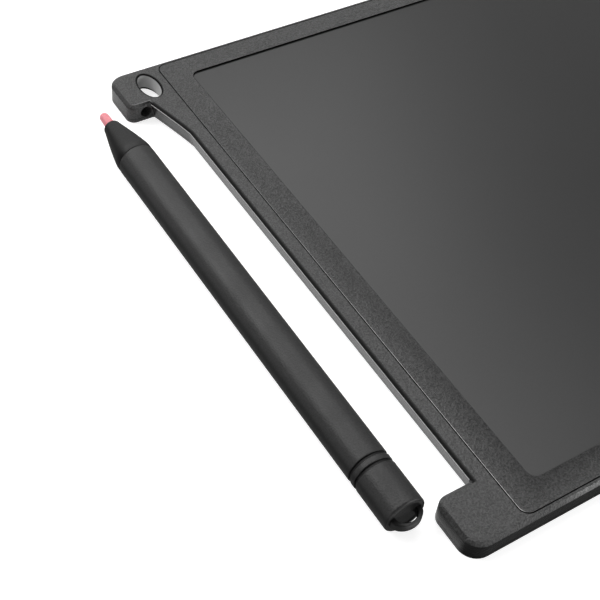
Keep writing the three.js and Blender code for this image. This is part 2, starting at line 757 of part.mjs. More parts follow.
// Slide switch with an open side for its lever.
function lockSwitchBody() {
  const slotLength = lockLeverWidth + lockTravel + 2 * slipGap;
  const midZ = lockSwitchHeight / 2;
  const slot = block(
    0, -lockSwitchWidth / 2, slotLength, 2 * (lockLeverInside + slipGap),
    midZ - lockLeverHeight / 2 - slipGap, midZ + lockLeverHeight / 2 + slipGap,
  );
  const body = block(0, 0, lockSwitchLength, lockSwitchWidth, seatGap, lockSwitchHeight);
  return geometryOf(solidOf(body).subtract(solidOf(slot)));
}

function electronics() {
  const group = new THREE.Group();
  group.position.set(pcbX, 0, pcbTopZ);
  const holes = screwPlaces().map(([x, y]) => circle(x - pcbX, y, pcbHoleRadius, smallSteps));
  const pcb = prism(
    roundedRectangle(0, 0, pcbWidth, pcbLength, pcbCornerRadius), -pcbThickness, 0, holes,
  );
  const switchBody = prism(
    roundedRectangle(0, 0, switchSize, switchSize, switchCornerRadius), seatGap, switchHeight,
    [circle(0, 0, plungerRadius + slipGap, smallSteps)],
  );
  const plunger = prism(
    circle(0, 0, plungerRadius, smallSteps),
    plungerTopZ - plungerHeight - pcbTopZ, plungerTopZ - pcbTopZ,
  );
  const tailSlot = block(
    -connectorWidth / 2, 0, 2 * (connectorMouth + slipGap), tailWidth + 2 * slipGap,
    connectorHeight / 2 - tailThickness - slipGap, connectorHeight / 2 + slipGap,
  );
  const connector = solidOf(
    block(0, 0, connectorWidth, connectorLength, seatGap, connectorHeight),
  ).subtract(solidOf(tailSlot));
  group.add(
    pieceOf("circuit_board", pcb, pcbGreen),
    pieceOf("tact_switch_body", switchBody, steel),
    pieceOf("tact_switch_plunger", plunger, chipBlack),
    pieceOf(
      "tail_connector", geometryOf(connector), connectorWhite,
      [(connectorWidth - pcbWidth) / 2 + connectorInset, 0, 0],
    ),
    pieceOf(
      "lock_switch_body", lockSwitchBody(), steel, [0, (lockSwitchWidth - pcbLength) / 2, 0],
    ),
    ...smallComponents(),
  );
  screwPlaces().forEach(([x, y], i) => {
    const geometry = screw(
      boardScrewRadius - spigotGap, boardScrewReach, boardScrewHeadRadius, boardScrewHeadHeight,
      screwDriveDepth,
    );
    group.add(pieceOf(`board_screw_${i + 1}`, geometry, steel, [x - pcbX, y, seatGap]));
  });
  return group;
}

function eraseButton() {
  const topZ = tabletThickness + buttonProud;
  const stadium = (shrink) => roundedRectangle(
    0, 0, buttonWidth - 2 * shrink, buttonLength - 2 * shrink, buttonWidth / 2 - shrink,
  );
  const cap = loft([
    { z: buttonFlangeZ, points: stadium(0) },
    { z: topZ - buttonDome * 2, points: stadium(0) },
    { z: topZ - buttonDome, points: stadium(buttonEdge / 3) },
    { z: topZ, points: stadium(buttonEdge) },
  ]);
  const flange = prism(stadium(-buttonFlange), buttonFlangeZ, buttonFlangeTopZ);
  const post = prism(
    circle(0, 0, buttonPostRadius, smallSteps), plungerTopZ + seatGap, buttonFlangeZ + seatGap,
  );
  return pieceOf("erase_button", geometryOf(join([cap, flange, post])), housingBlack, [pcbX, 0, 0]);
}

// Slider in the base with a fork round the lever of its switch.
function lockSlider() {
  const group = new THREE.Group();
  group.position.set(pcbX - lockTravel / 2, lockY, 0);
  const flangeZ = backFloor + partingGap;
  const knob = block(0, 0, lockKnobLength, lockKnobWidth, lockKnobRecess, flangeZ + seatGap);
  const flange = block(
    0, 0, lockKnobLength + 2 * (lockTravel + lockFlangeLap), lockKnobWidth + 2 * lockFlange,
    flangeZ, flangeZ + lockFlangeThickness,
  );
  const leverZ = pcbTopZ + lockSwitchHeight / 2;
  const pitch = lockKnobLength / (lockRidgeCount + 1);
  const grooves = Array.from({ length: lockRidgeCount }, (_, i) =>
    block(
      (i - (lockRidgeCount - 1) / 2) * pitch, 0, lockRidgeWidth, lockKnobWidth + overrun,
      lockKnobRecess - overrun, lockKnobRecess + lockRidgeDepth,
    ));
  const leverTipY = lockOffset + lockLeverInside - lockLeverLength;
  const prongX = (lockLeverWidth + lockForkWidth) / 2 + slipGap;
  const prongs = [-prongX, prongX].map((x) =>
    block(
      x, leverTipY + lockForkLength / 2, lockForkWidth, lockForkLength,
      flangeZ + seatGap, leverZ + lockForkHeight / 2,
    ));
  const slider = join([knob, flange, ...prongs]).subtract(join(grooves));
  const lever = block(
    0, leverTipY + lockLeverLength / 2, lockLeverWidth, lockLeverLength,
    leverZ - lockLeverHeight / 2, leverZ + lockLeverHeight / 2,
  );
  group.add(
    pieceOf("lock_slider", geometryOf(slider), housingBlack),
    pieceOf("lock_switch_lever", lever, chipBlack),
  );
  return group;
}

// A bent strip of sheet metal: its side view is drawn with Y to the right and Z up.
function strip(x, points) {
  const shape = new THREE.Shape(points.map(([y, z]) => new THREE.Vector2(y, z)));
  const geometry = new THREE.ExtrudeGeometry(shape, { depth: contactWidth, bevelEnabled: false });
  return geometry
    .rotateX(Math.PI / 2)
    .rotateZ(Math.PI / 2)
    .translate(x - contactWidth / 2, 0, 0);
}

function battery() {
  const group = new THREE.Group();
  group.position.set(pcbX, cellY, 0);
  const cellZ = backFloor + seatGap;
  const can = loft([
    { z: cellZ, points: circle(0, 0, cellRadius - cellCapHeight) },
    { z: cellZ + cellCapHeight, points: circle(0, 0, cellRadius) },
    { z: cellZ + cellHeight - cellCapHeight, points: circle(0, 0, cellRadius) },
  ]);
  const capZ = cellZ + cellHeight - cellCapHeight + seatGap;
  const cellCap = loft([
    { z: capZ, points: circle(0, 0, cellCapRadius) },
    { z: capZ + cellCapHeight, points: circle(0, 0, cellCapRadius - cellCapHeight) },
  ]);
  const overZ = capZ + cellCapHeight + seatGap;
  const rimZ = cellZ + cellCapHeight;
  const padZ = pcbTopZ + seatGap;
  const padY = pcbLength / 2 - cellY - contactPadLength;
  const riserY = -cellRadius - cellClearance - cellRingWall - contactRiserOffset;
  const rimY = -cellRadius - cellClearance / 2;
  const t = contactThickness;

  // The upper contact leaves its pad on the board, rises before the ring and runs over the cell.
  const upper = strip(-contactSpacing / 2, [
    [padY, padZ],
    [riserY + t, padZ],
    [riserY + t, overZ],
    [contactReach - cellRadius, overZ],
    [contactReach - cellRadius, overZ + t],
    [riserY, overZ + t],
    [riserY, padZ + t],
    [padY, padZ + t],
  ]);

  // The side contact passes through the ring's gap and presses on the rim of the cell.
  const side = strip(contactSpacing / 2, [
    [padY, padZ],
    [rimY - t, padZ],
    [rimY - t, rimZ],
    [rimY, rimZ],
    [rimY, padZ + t],
    [padY, padZ + t],
  ]);
  group.add(
    pieceOf("coin_cell_can", can, nickel),
    pieceOf("coin_cell_cap", cellCap, nickel),
    pieceOf("battery_top_contact", upper, nickel),
    pieceOf("battery_side_contact", side, nickel),
  );
  return group;
}

function batteryDoor() {
  const group = new THREE.Group();
  const screwX = pcbX - doorTabReach;
  const headSeatZ = doorScrewHeadHeight + seatGap;
  const flange = prism(doorOutline(0), 0, doorFlangeThickness);
  const plug = prism(
    circle(pcbX, cellY, cellRadius + cellClearance - slipGap),
    doorFlangeThickness - seatGap, backFloor,
  );
  const headRoom = prism(
    circle(screwX, cellY, doorScrewHeadRadius + slipGap, smallSteps), -overrun, headSeatZ,
  );
  const hole = prism(circle(screwX, cellY, doorScrewHole, smallSteps), -overrun, backFloor);
  const coinSlot = block(
    pcbX, cellY, doorCoinSlotWidth, doorCoinSlotLength, -overrun, doorCoinSlotDepth,
  );
  const door = join([flange, plug])
    .subtract(solidOf(headRoom))
    .subtract(solidOf(hole))
    .subtract(solidOf(coinSlot));
  const doorScrew = screw(
    doorScrewRadius, doorScrewReach, doorScrewHeadRadius, doorScrewHeadHeight, doorScrewDriveDepth,
  ).rotateX(Math.PI);
  group.add(
    pieceOf("battery_door", geometryOf(door), housingBlack),
    pieceOf("battery_door_screw", doorScrew, steel, [screwX, cellY, doorScrewHeadHeight]),
  );
  return group;
}

// The stylus points along +Y, with its nose tip at y = 0 of its own group.
function stylus() {
  const group = new THREE.Group();
  group.position.set(
    -tabletLength / 2 - stylusClearX, slotHalfLength - stylusSetBack, stylusRadius,
  );
  const barrelLength = 2 * slotHalfLength - stylusSlack - noseLength - 2 * seatGap
    - 2 * grooveWidth - ringLength - capLength - loopReach;

  const nib = turned([
    [0, -nibInside],
    [nibRadius, -nibInside],
    [nibRadius, 0],
    [nibTipRadius, nibExposed - nibRound],
    [nibTipRadius - nibRound / 4, nibExposed - nibRound / 3],
    [nibTipRadius - nibRound, nibExposed],
    [0, nibExposed],
  ], smallSteps);

  const boreRadius = nibRadius + spigotGap;
  const taperLength = noseLength - noseCollar - noseRound;
  const slopeSteps = cornerSteps;
  const slope = Array.from({ length: slopeSteps + 1 }, (_, i) => {
    const share = i / slopeSteps;
    const radius = noseBaseRadius - (noseBaseRadius - noseTipRadius) * share ** nosePower;
    return [radius, noseCollar - noseLength + taperLength * share];
  });
  const noseSpigotRadius = barrelBoreRadius - spigotGap;
  const nose = turned([
    [boreRadius, 0],
    [boreRadius, -nibInside - spigotGap],
    [0, -nibInside - spigotGap],
    [0, -noseLength - noseSpigotLength],
    [noseSpigotRadius, -noseLength - noseSpigotLength],
    [noseSpigotRadius, -noseLength],
    [noseBaseRadius, -noseLength],
    ...slope,
    [noseTipRadius - noseRound / 6, -noseRound / 3],
    [noseMouthRadius, 0],
    [boreRadius, 0],
  ]);

  const barrelFrontY = -noseLength - seatGap;
  const barrelBackY = barrelFrontY - barrelLength;
  const barrel = turned([
    [barrelBoreRadius, barrelBackY],
    [stylusRadius, barrelBackY],
    [stylusRadius, barrelFrontY - barrelShoulder],
    [stylusRadius - (stylusRadius - noseBaseRadius) / 3, barrelFrontY - barrelShoulder / 3],
    [noseBaseRadius, barrelFrontY],
    [barrelBoreRadius, barrelFrontY],
    [barrelBoreRadius, barrelBackY],
  ]);

  const ringFrontY = barrelBackY - grooveWidth;
  const neckRadius = stylusRadius - grooveDepth;
  const ring = turned([
    [neckRadius + spigotGap, ringFrontY - ringLength],
    [stylusRadius, ringFrontY - ringLength],
    [stylusRadius, ringFrontY],
    [neckRadius + spigotGap, ringFrontY],
    [neckRadius + spigotGap, ringFrontY - ringLength],
  ]);

  const capFrontY = ringFrontY - ringLength - grooveWidth;
  const capBackY = capFrontY - capLength;
  const capSpigotRadius = barrelBoreRadius - spigotGap;
  const cap = turned([
    [0, capBackY + capDish],
    [capDishRadius, capBackY + capDish],
    [capDishRadius + capDish, capBackY],
    [stylusRadius - capRound / 2, capBackY],
    [stylusRadius - capRound / 8, capBackY + capRound / 3],
    [stylusRadius, capBackY + capRound],
    [stylusRadius, capFrontY],
    [neckRadius, capFrontY],
    [neckRadius, barrelBackY - seatGap],
    [capSpigotRadius, barrelBackY - seatGap],
    [capSpigotRadius, barrelBackY + capSpigotLength],
    [0, barrelBackY + capSpigotLength],
  ]);
  const halfEllipse = (halfWidth, reach, rootY) => [
    new THREE.Vector2(-halfWidth, rootY),
    ...arc(0, 0, 1, 2, 4, 2 * cornerSteps).map(
      (p) => new THREE.Vector2(halfWidth * p.x, capBackY + reach * p.y),
    ),
    new THREE.Vector2(halfWidth, rootY),
  ];
  const loopOutline = halfEllipse(loopHalfWidth, loopReach, capBackY + capRound);
  const eyeOutline = halfEllipse(eyeHalfWidth, eyeReach, capBackY + capDish);
  const loopBody = prism(loopOutline, -loopThickness / 2, loopThickness / 2);
  const eye = prism(eyeOutline, -loopThickness, loopThickness);
  const endCap = solidOf(cap).add(solidOf(loopBody).subtract(solidOf(eye)));

  group.add(
    pieceOf("stylus_nib", nib, nibPink),
    pieceOf("stylus_nose_cone", nose, stylusBlack),
    pieceOf("stylus_barrel", barrel, stylusBlack),
    pieceOf("stylus_ring", ring, stylusBlack),
    pieceOf("stylus_end_cap", geometryOf(endCap), stylusBlack),
  );
  return group;
}

const tablet = new THREE.Group();
tablet.add(
  pieceOf("front_cover", frontCover(), housingBlack),
  pieceOf("back_cover", backCover(), housingBlack),
  screenLayers(),
  pieceOf("lcd_ribbon_tail", lcdTail(), tailAmber),
  electronics(),
  eraseButton(),
  lockSlider(),
  battery(),
  batteryDoor(),
  stylus(),
);

export default tablet;
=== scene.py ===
import json
import math

import bmesh
import bpy
import numpy as np
from mathutils import Matrix, Vector


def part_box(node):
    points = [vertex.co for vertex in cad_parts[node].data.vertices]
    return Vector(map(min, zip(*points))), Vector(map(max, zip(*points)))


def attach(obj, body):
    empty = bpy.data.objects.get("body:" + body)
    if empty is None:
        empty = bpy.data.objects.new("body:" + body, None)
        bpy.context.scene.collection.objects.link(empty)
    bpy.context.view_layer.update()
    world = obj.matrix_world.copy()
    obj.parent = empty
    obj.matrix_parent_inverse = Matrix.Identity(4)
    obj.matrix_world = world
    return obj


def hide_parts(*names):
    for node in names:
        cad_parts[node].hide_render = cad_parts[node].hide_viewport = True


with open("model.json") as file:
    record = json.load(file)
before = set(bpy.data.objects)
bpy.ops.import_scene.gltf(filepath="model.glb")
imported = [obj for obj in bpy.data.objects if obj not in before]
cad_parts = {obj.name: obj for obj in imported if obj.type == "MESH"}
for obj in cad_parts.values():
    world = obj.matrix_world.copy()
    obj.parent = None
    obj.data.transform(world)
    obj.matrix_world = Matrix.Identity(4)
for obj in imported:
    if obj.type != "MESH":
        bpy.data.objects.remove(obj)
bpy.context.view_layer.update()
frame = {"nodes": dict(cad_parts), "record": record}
nodes = frame["nodes"]
scene = bpy.context.scene
mm = 0.001
print("frame loaded:", len(nodes), "nodes")


# Camera

view = {
    "lens": 75.09,  # millimetres
    "sensor": 36,
    "clip": (0.01, 30),  # metres
    "place": (-212.611, -142.881, 197.091),  # millimetres in the tablet's frame
    "aim": (-108.511, -8.159, 4.8),  # what the middle of the picture shows
    "rollDegrees": 7.546,
}


def makeCamera():
    data = bpy.data.cameras.new("camera")
    data.lens = view["lens"]
    data.sensor_width = view["sensor"]
    data.clip_start, data.clip_end = view["clip"]
    camera = bpy.data.objects.new("camera", data)
    scene.collection.objects.link(camera)
    place, aim = Vector(view["place"]) * mm, Vector(view["aim"]) * mm
    turn = (aim - place).to_track_quat("-Z", "Y").to_matrix().to_4x4()
    roll = Matrix.Rotation(math.radians(view["rollDegrees"]), 4, "Z")
    camera.matrix_world = Matrix.Translation(place) @ turn @ roll
    scene.camera = camera


makeCamera()


# Mesh helpers. All of them take millimetres.

overrun = 1  # how far a cutter runs past the face it cuts
middleShare = 0.3  # where the middle ring of a broken edge lies, as a share of the edge's width
straightDown = -0.9999  # z of the normal of a face that looks straight down
nearness = {"doubles": 1e-7, "thinFace": 1e-8, "cadDoubles": 1e-6}  # metres
cadEdges = {"flatDegrees": 0.4, "sharpDegrees": 35, "segments": 2}


# Lowest and highest corner of a CAD node in millimetres.
def span(node):
    low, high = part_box(node)
    return np.array(low) / mm, np.array(high) / mm


# Points x + radius cos a, y + radius sin a, with a in equal steps, given in quarter turns.
def arc(x, y, radius, fromQuarter, toQuarter, steps):
    a = np.linspace(fromQuarter, toQuarter, steps + 1) * math.pi / 2
    return np.stack([x + radius * np.cos(a), y + radius * np.sin(a)], 1)


# Four quarter arcs round (x, y), joined by straight sides.
def roundedRectangle(x, y, length, width, radius, steps=12):
    dx, dy = length / 2 - radius, width / 2 - radius
    return np.concatenate([
        arc(x + dx, y + dy, radius, 0, 1, steps),
        arc(x - dx, y + dy, radius, 1, 2, steps),
        arc(x - dx, y - dy, radius, 2, 3, steps),
        arc(x + dx, y - dy, radius, 3, 4, steps),
    ])


# A polyline whose inner corners become curves (1-t)^2 a + 2t(1-t) corner + t^2 b, where a and b lie
# on the corner's two sides, as far from it as its reach.
def softCorners(corners, reaches, steps=5):
    corners = np.asarray(corners, float)
    t = np.linspace(0, 1, steps + 1)[:, None]
    parts = [corners[:1]]
    for before, corner, after, reach in zip(corners[:-2], corners[1:-1], corners[2:], reaches):
        a = corner + (before - corner) * reach / np.linalg.norm(before - corner)
        b = corner + (after - corner) * reach / np.linalg.norm(after - corner)
        parts.append((1 - t) ** 2 * a + 2 * t * (1 - t) * corner + t ** 2 * b)
    return np.concatenate(parts + [corners[-1:]])


def atHeight(points, z):
    return np.column_stack([points, np.broadcast_to(z, len(points))])


# Merges doubles, drops faces without area and turns the faces outwards.
def cleaned(mesh):
    work = bmesh.new()
    work.from_mesh(mesh)
    bmesh.ops.remove_doubles(work, verts=work.verts, dist=nearness["doubles"])
    bmesh.ops.dissolve_degenerate(work, edges=work.edges, dist=nearness["thinFace"])
    bmesh.ops.recalc_face_normals(work, faces=work.faces)
    work.to_mesh(mesh)
    work.free()
    return mesh


# Quads from each ring of points to the next; a flat face closes each end, or the last ring joins
# the first.
def skin(name, rings, loop=False):
    rings = np.asarray(rings, float)
    levels, count = rings.shape[:2]
    around = np.arange(count)
    start = np.arange(levels if loop else levels - 1)[:, None]
    here, there = start * count, (start + 1) % levels * count
    onward = (around + 1) % count
    quads = np.stack([here + around, here + onward, there + onward, there + around], -1)
    faces = quads.reshape(-1, 4).tolist()
    if not loop:
        faces += [around[::-1].tolist(), ((levels - 1) * count + around).tolist()]
    mesh = bpy.data.meshes.new(name)
    mesh.from_pydata((rings.reshape(-1, 3) * mm).tolist(), [], faces)
    piece = bpy.data.objects.new(name, cleaned(mesh))
    scene.collection.objects.link(piece)
    return piece


# One level of a piece whose outline is a rounded rectangle, drawn in by inset on every side.
def layer(x, length, width, radius, steps, inset, z):
    outline = roundedRectangle(x, 0, length - 2 * inset, width - 2 * inset, radius - inset, steps)
    return atHeight(outline, z)


def prism(name, points, low, high):
    return skin(name, [atHeight(points, low), atHeight(points, high)])


# A cutter whose outline(grow) widens by lip * (1 - cos a) round its upper mouth, so that it leaves
# a rounded edge.
def flared(name, outline, low, high, lip):
    turn = np.linspace(0, math.pi / 2, 6)
    mouth = [atHeight(outline(lip * (1 - math.cos(a))), high - lip * (1 - math.sin(a))) for a in turn]
    return skin(name, [atHeight(outline(0), low)] + mouth + [atHeight(outline(lip), high + overrun)])


# Each profile point (radius, along) goes round the axis: x + radius sin a, along, z + radius cos a.
def lathe(name, profile, x, z, steps, loop=False):
    radius, along = np.asarray(profile, float).T[:, :, None]
    a = np.linspace(0, 2 * math.pi, steps, endpoint=False)
    rings = np.stack([x + radius * np.sin(a), along + 0 * a, z + radius * np.cos(a)], -1)
    return skin(name, rings, loop)


# Cuts the others from the piece, or joins them to it.
def combine(piece, others, how):
    for other in others:
        change = piece.modifiers.new(how, "BOOLEAN")
        change.operation = how
        change.solver = "EXACT"
        change.object = other
    depsgraph = bpy.context.evaluated_depsgraph_get()
    mesh = bpy.data.meshes.new_from_object(piece.evaluated_get(depsgraph))
    piece.modifiers.clear()
    piece.data = cleaned(mesh)
    for other in others:
        bpy.data.objects.remove(other)
    return piece


# Smooth shading that keeps flat faces flat and corners above the angle sharp.
def shaded(piece, sharpDegrees):
    piece.data.shade_smooth()
    piece.data.set_sharp_from_angle(angle=math.radians(sharpDegrees))
    weighted = piece.modifiers.new("weighted", "WEIGHTED_NORMAL")
    weighted.keep_sharp = True
    return piece


# A merged copy of a CAD node with its edges broken by a small round of that width.
def softened(node, width):
    flat = math.radians(cadEdges["flatDegrees"])
    mesh = nodes[node].data.copy()
    work = bmesh.new()
    work.from_mesh(mesh)
    bmesh.ops.remove_doubles(work, verts=work.verts, dist=nearness["cadDoubles"])
    bmesh.ops.dissolve_limit(work, angle_limit=flat, verts=work.verts, edges=work.edges)
    work.to_mesh(mesh)
    work.free()
    piece = bpy.data.objects.new(node + "_finished", mesh)
    scene.collection.objects.link(piece)
    bevel = piece.modifiers.new("soft edges", "BEVEL")
    bevel.width = width * mm
    bevel.segments = cadEdges["segments"]
    bevel.limit_method = "ANGLE"
    bevel.angle_limit = math.radians(cadEdges["sharpDegrees"])
    return shaded(piece, cadEdges["sharpDegrees"])


# Stores rule(x, y, z), worked out for all vertices at once in millimetres, as an attribute of the
# corners of all faces but those that look straight down.
def mark(piece, name, rule):
    mesh = piece.data
    places = np.empty(len(mesh.vertices) * 3, np.float32)
    mesh.vertices.foreach_get("co", places)
    vertexOf = np.empty(len(mesh.loops), np.int32)
    mesh.loops.foreach_get("vertex_index", vertexOf)
    normals = np.empty(len(mesh.polygons) * 3, np.float32)
    mesh.polygons.foreach_get("normal", normals)
    corners = np.empty(len(mesh.polygons), np.int32)
    mesh.polygons.foreach_get("loop_total", corners)
    seen = np.repeat(normals[2::3] > straightDown, corners)
    x, y, z = places.reshape(-1, 3).T / mm
    attribute = mesh.attributes.new(name, "FLOAT", "CORNER")
    attribute.data.foreach_set("value", (rule(x, y, z)[vertexOf] * seen).astype(np.float32))


# 0 below low, 1 above high, and 3 t^2 - 2 t^3 between.
def smoothStep(value, low, high):
    t = np.clip((value - low) / (high - low), 0, 1)
    return t * t * (3 - 2 * t)


# The piece moves with its body, stands for CAD nodes and has one finish.
def dress(piece, body, slot, material, *replaced):
    piece.data.materials.clear()
    piece.data.materials.append(material)
    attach(piece, body)
    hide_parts(*replaced)


# Materials

# An sRGB hex value as the linear colour that a shader takes: s / 12.92 for the darkest shares of red,
# green and blue, and ((s + 0.055) / 1.055)^2.4 for the others.
def linear(code):
    s = np.array([code >> 16 & 255, code >> 8 & 255, code & 255]) / 255
    return (*np.where(s <= 0.04045, s / 12.92, ((s + 0.055) / 1.055) ** 2.4), 1.0)


# The scale of a pattern whose features are that many millimetres across.
def perMetre(size):
    return 1 / (size * mm)


# Adds a node. A key names an input, gives its number, or names a property; another node's output is
# linked, and any other value is set.
def addNode(tree, kind, values=None):
    node = tree.nodes.new(kind)
    for key, value in (values or {}).items():
        if isinstance(value, bpy.types.NodeSocket):
            tree.links.new(value, node.inputs[key])
        elif isinstance(key, int) or key in node.inputs:
            node.inputs[key].default_value = value
        else:
            setattr(node, key, value)
    return node


def newMaterial(name):
    material = bpy.data.materials.new(name)
    material.use_nodes = True
    material.node_tree.nodes.clear()
    return material


noise = {
    "grainDetail": 1.5,
    "grainRoughness": 0.6,
    "grainReach": (0.3, 0.7),  # noise values that give the darkest and the lightest grain
    "cloudDetail": 2.0,
    "cloudReach": (0.2, 0.8),  # and the glossiest and the dullest patches
}
usual = {"ior": 1.5, "metallic": 0.0, "level": 0.5, "extra": {}, "marks": {}}  # unless a look says so


# A solid finish with a fine grain in colour and height, and cloudy changes of gloss. Colour runs
# from dark to light with the grain; roughness runs with a much larger noise; the height of the
# grain is the bump. Marks are attributes of the mesh, from 0 to 1, that turn colour, roughness,
# specular level and the bump's strength towards their own. A mix has its share at input 0, its
# colours at 6 and 7 or its numbers at 2 and 3, and gives output 2 or 0.
def grained(name, look):
    look = {**usual, **look}
    material = newMaterial(name)
    tree = material.node_tree
    place = addNode(tree, "ShaderNodeTexCoord").outputs["Object"]
    grain = addNode(tree, "ShaderNodeTexNoise", {
        "Vector": place, "Scale": perMetre(look["grain"]),
        "Detail": noise["grainDetail"], "Roughness": noise["grainRoughness"],
    }).outputs["Fac"]
    cloud = addNode(tree, "ShaderNodeTexNoise", {
        "Vector": place, "Scale": perMetre(look["cloud"]), "Detail": noise["cloudDetail"],
    }).outputs["Fac"]
    darkest, lightest = noise["grainReach"]
    spread = addNode(tree, "ShaderNodeMapRange", {
        "Value": grain, "From Min": darkest, "From Max": lightest,
    }).outputs["Result"]
    colour = addNode(tree, "ShaderNodeMix", {
        "data_type": "RGBA", 0: spread, 6: linear(look["dark"]), 7: linear(look["light"]),
    }).outputs[2]
    glossiest, dullest = noise["cloudReach"]
    roughness = addNode(tree, "ShaderNodeMapRange", {
        "interpolation_type": "SMOOTHERSTEP", "Value": cloud, "From Min": glossiest,
        "From Max": dullest, "To Min": look["smooth"], "To Max": look["rough"],
    }).outputs["Result"]
    level, strength = look["level"], look["bump"]
    for markName, own in look["marks"].items():
        share = addNode(tree, "ShaderNodeAttribute", {"attribute_name": markName}).outputs["Fac"]
        colour = addNode(tree, "ShaderNodeMix", {
            "data_type": "RGBA", 0: share, 6: colour, 7: linear(own["colour"]),
        }).outputs[2]
        roughness, level, strength = (
            addNode(tree, "ShaderNodeMix", {
                "data_type": "FLOAT", 0: share, 2: value, 3: own[key],
            }).outputs[0]
            for key, value in (("roughness", roughness), ("level", level), ("bump", strength))
        )
    bump = addNode(tree, "ShaderNodeBump", {
        "Height": grain, "Strength": strength, "Distance": look["depth"] * mm,
    }).outputs["Normal"]
    shader = addNode(tree, "ShaderNodeBsdfPrincipled", {
        "Base Color": colour, "Roughness": roughness, "Specular IOR Level": level, "Normal": bump,
        "IOR": look["ior"], "Metallic": look["metallic"], **look["extra"],
    })
    addNode(tree, "ShaderNodeOutputMaterial", {"Surface": shader.outputs["BSDF"]})
    return material


# ABS moulded in a spark-eroded tool: an even, dull black that lights up at shallow angles.
housing = {
    "dark": 0x242424, "light": 0x4C4C4C, "smooth": 0.46, "rough": 0.54, "ior": 1.53,
    "grain": 0.36, "cloud": 22, "bump": 1.0, "depth": 0.24,
    "marks": {  # polished by hands and by the stylus, painted shade where little light reaches, and painted highlights along some edges
        "rubbed": {"colour": 0x3C3C3C, "roughness": 0.2, "level": 0.55, "bump": 0.2},
        "painted_shade": {"colour": 0x171717, "roughness": 0.5, "level": 0.03, "bump": 0.5},
        "painted_highlight": {"colour": 0xD6D6D6, "roughness": 0.4, "level": 0.5, "bump": 0.2},
    },
}
# Sheet with a sandy printed coat, coarser to the eye than the housing round it.
bezelSheet = {
    "dark": 0x141414, "light": 0x4B4B4B, "smooth": 0.4, "rough": 0.48, "ior": 1.53,
    "grain": 0.38, "cloud": 30, "bump": 1.0, "depth": 0.28,
    "marks": {
        # painted shade on the sheet's edges and along its -Y side
        "painted_shade": {"colour": 0x0A0A0A, "roughness": 0.6, "level": 0.02, "bump": 0.5},
        # a pale painted glint along part of the upper rim
        "painted_highlight": {"colour": 0xE4E4E4, "roughness": 0.4, "level": 0.5, "bump": 0.2},
    },
}
# Hard-coated film: almost no grain, and a satin gloss that carries the room's gradient. Below a
# roughness of 0.28 its clouds of gloss would show as lines.
screenFilm = {
    "dark": 0x1D1D1D, "light": 0x202020, "smooth": 0.28, "rough": 0.3, "ior": 1.48,
    "grain": 0.5, "cloud": 40, "bump": 0.05, "depth": 0.01,
}
# ABS with a satin tool finish, a little darker and finer than the housing.
stylusSatin = {
    "dark": 0x1C1C1C, "light": 0x2A2A2A, "smooth": 0.46, "rough": 0.52, "ior": 1.47,
    "grain": 0.36, "cloud": 7, "bump": 0.7, "depth": 0.07,
    "marks": {
        # painted shade in the joint, the grooves, the cap's dish and on the lower flanks
        "painted_shade": {"colour": 0x0E0E0E, "roughness": 0.6, "level": 0.05, "bump": 0.5},
    },
}
# Acetal rod: bright, slightly translucent, with a soft sheen.
nibAcetal = {
    "dark": 0xE8868F, "light": 0xF0969E, "smooth": 0.35, "rough": 0.45, "ior": 1.48,
    "grain": 0.4, "cloud": 3, "bump": 0.1, "depth": 0.02,
    "extra": {"Subsurface Weight": 0.15, "Subsurface Scale": 0.0008},
}
# Blackened film behind the display, foam tape and pressed board.
blackFilm = {
    "dark": 0x101112, "light": 0x16171A, "smooth": 0.4, "rough": 0.5,
    "grain": 0.5, "cloud": 20, "bump": 0.05, "depth": 0.01,
}
foamTape = {
    "dark": 0x161617, "light": 0x242425, "smooth": 0.8, "rough": 0.95,
    "grain": 0.2, "cloud": 8, "bump": 0.5, "depth": 0.03,
}
pressedBoard = {
    "dark": 0x66686A, "light": 0x7A7C7E, "smooth": 0.75, "rough": 0.85,
    "grain": 0.6, "cloud": 12, "bump": 0.3, "depth": 0.03,
}
# Moulded component bodies, glazed ceramic, polyimide film and connector nylon.
componentEpoxy = {
    "dark": 0x161617, "light": 0x1F1F20, "smooth": 0.5, "rough": 0.6,
    "grain": 0.15, "cloud": 3, "bump": 0.3, "depth": 0.02,
}
capacitorCeramic = {
    "dark": 0xA98355, "light": 0xB89263, "smooth": 0.45, "rough": 0.6,
    "grain": 0.1, "cloud": 1, "bump": 0.2, "depth": 0.01,
}
polyimideTail = {
    "dark": 0xAD6F24, "light": 0xBC7D30, "smooth": 0.28, "rough": 0.38,
    "grain": 0.4, "cloud": 4, "bump": 0.05, "depth": 0.01,
}
connectorNylon = {
    "dark": 0xDCD8CC, "light": 0xE8E5DB, "smooth": 0.45, "rough": 0.55,
    "grain": 0.2, "cloud": 3, "bump": 0.15, "depth": 0.02,
}
# Solder mask over copper: deep green with lighter, cloudy patches.
solderMask = {
    "dark": 0x14482A, "light": 0x235F39, "smooth": 0.3, "rough": 0.42,
    "grain": 1.4, "cloud": 6, "bump": 0.2, "depth": 0.03,
}
# Zinc-plated steel and nickel plate: drawn strip with faint clouds in its gloss.
platedSteel = {
    "dark": 0xA9ACB0, "light": 0xBFC2C6, "smooth": 0.28, "rough": 0.42, "metallic": 1.0,
    "grain": 0.12, "cloud": 1.5, "bump": 0.1, "depth": 0.01,
}
nickelPlate = {
    "dark": 0xBDB9B0, "light": 0xCFCBC2, "smooth": 0.28, "rough": 0.36, "metallic": 1.0,
    "grain": 0.1, "cloud": 2.5, "bump": 0.08, "depth": 0.01,
}

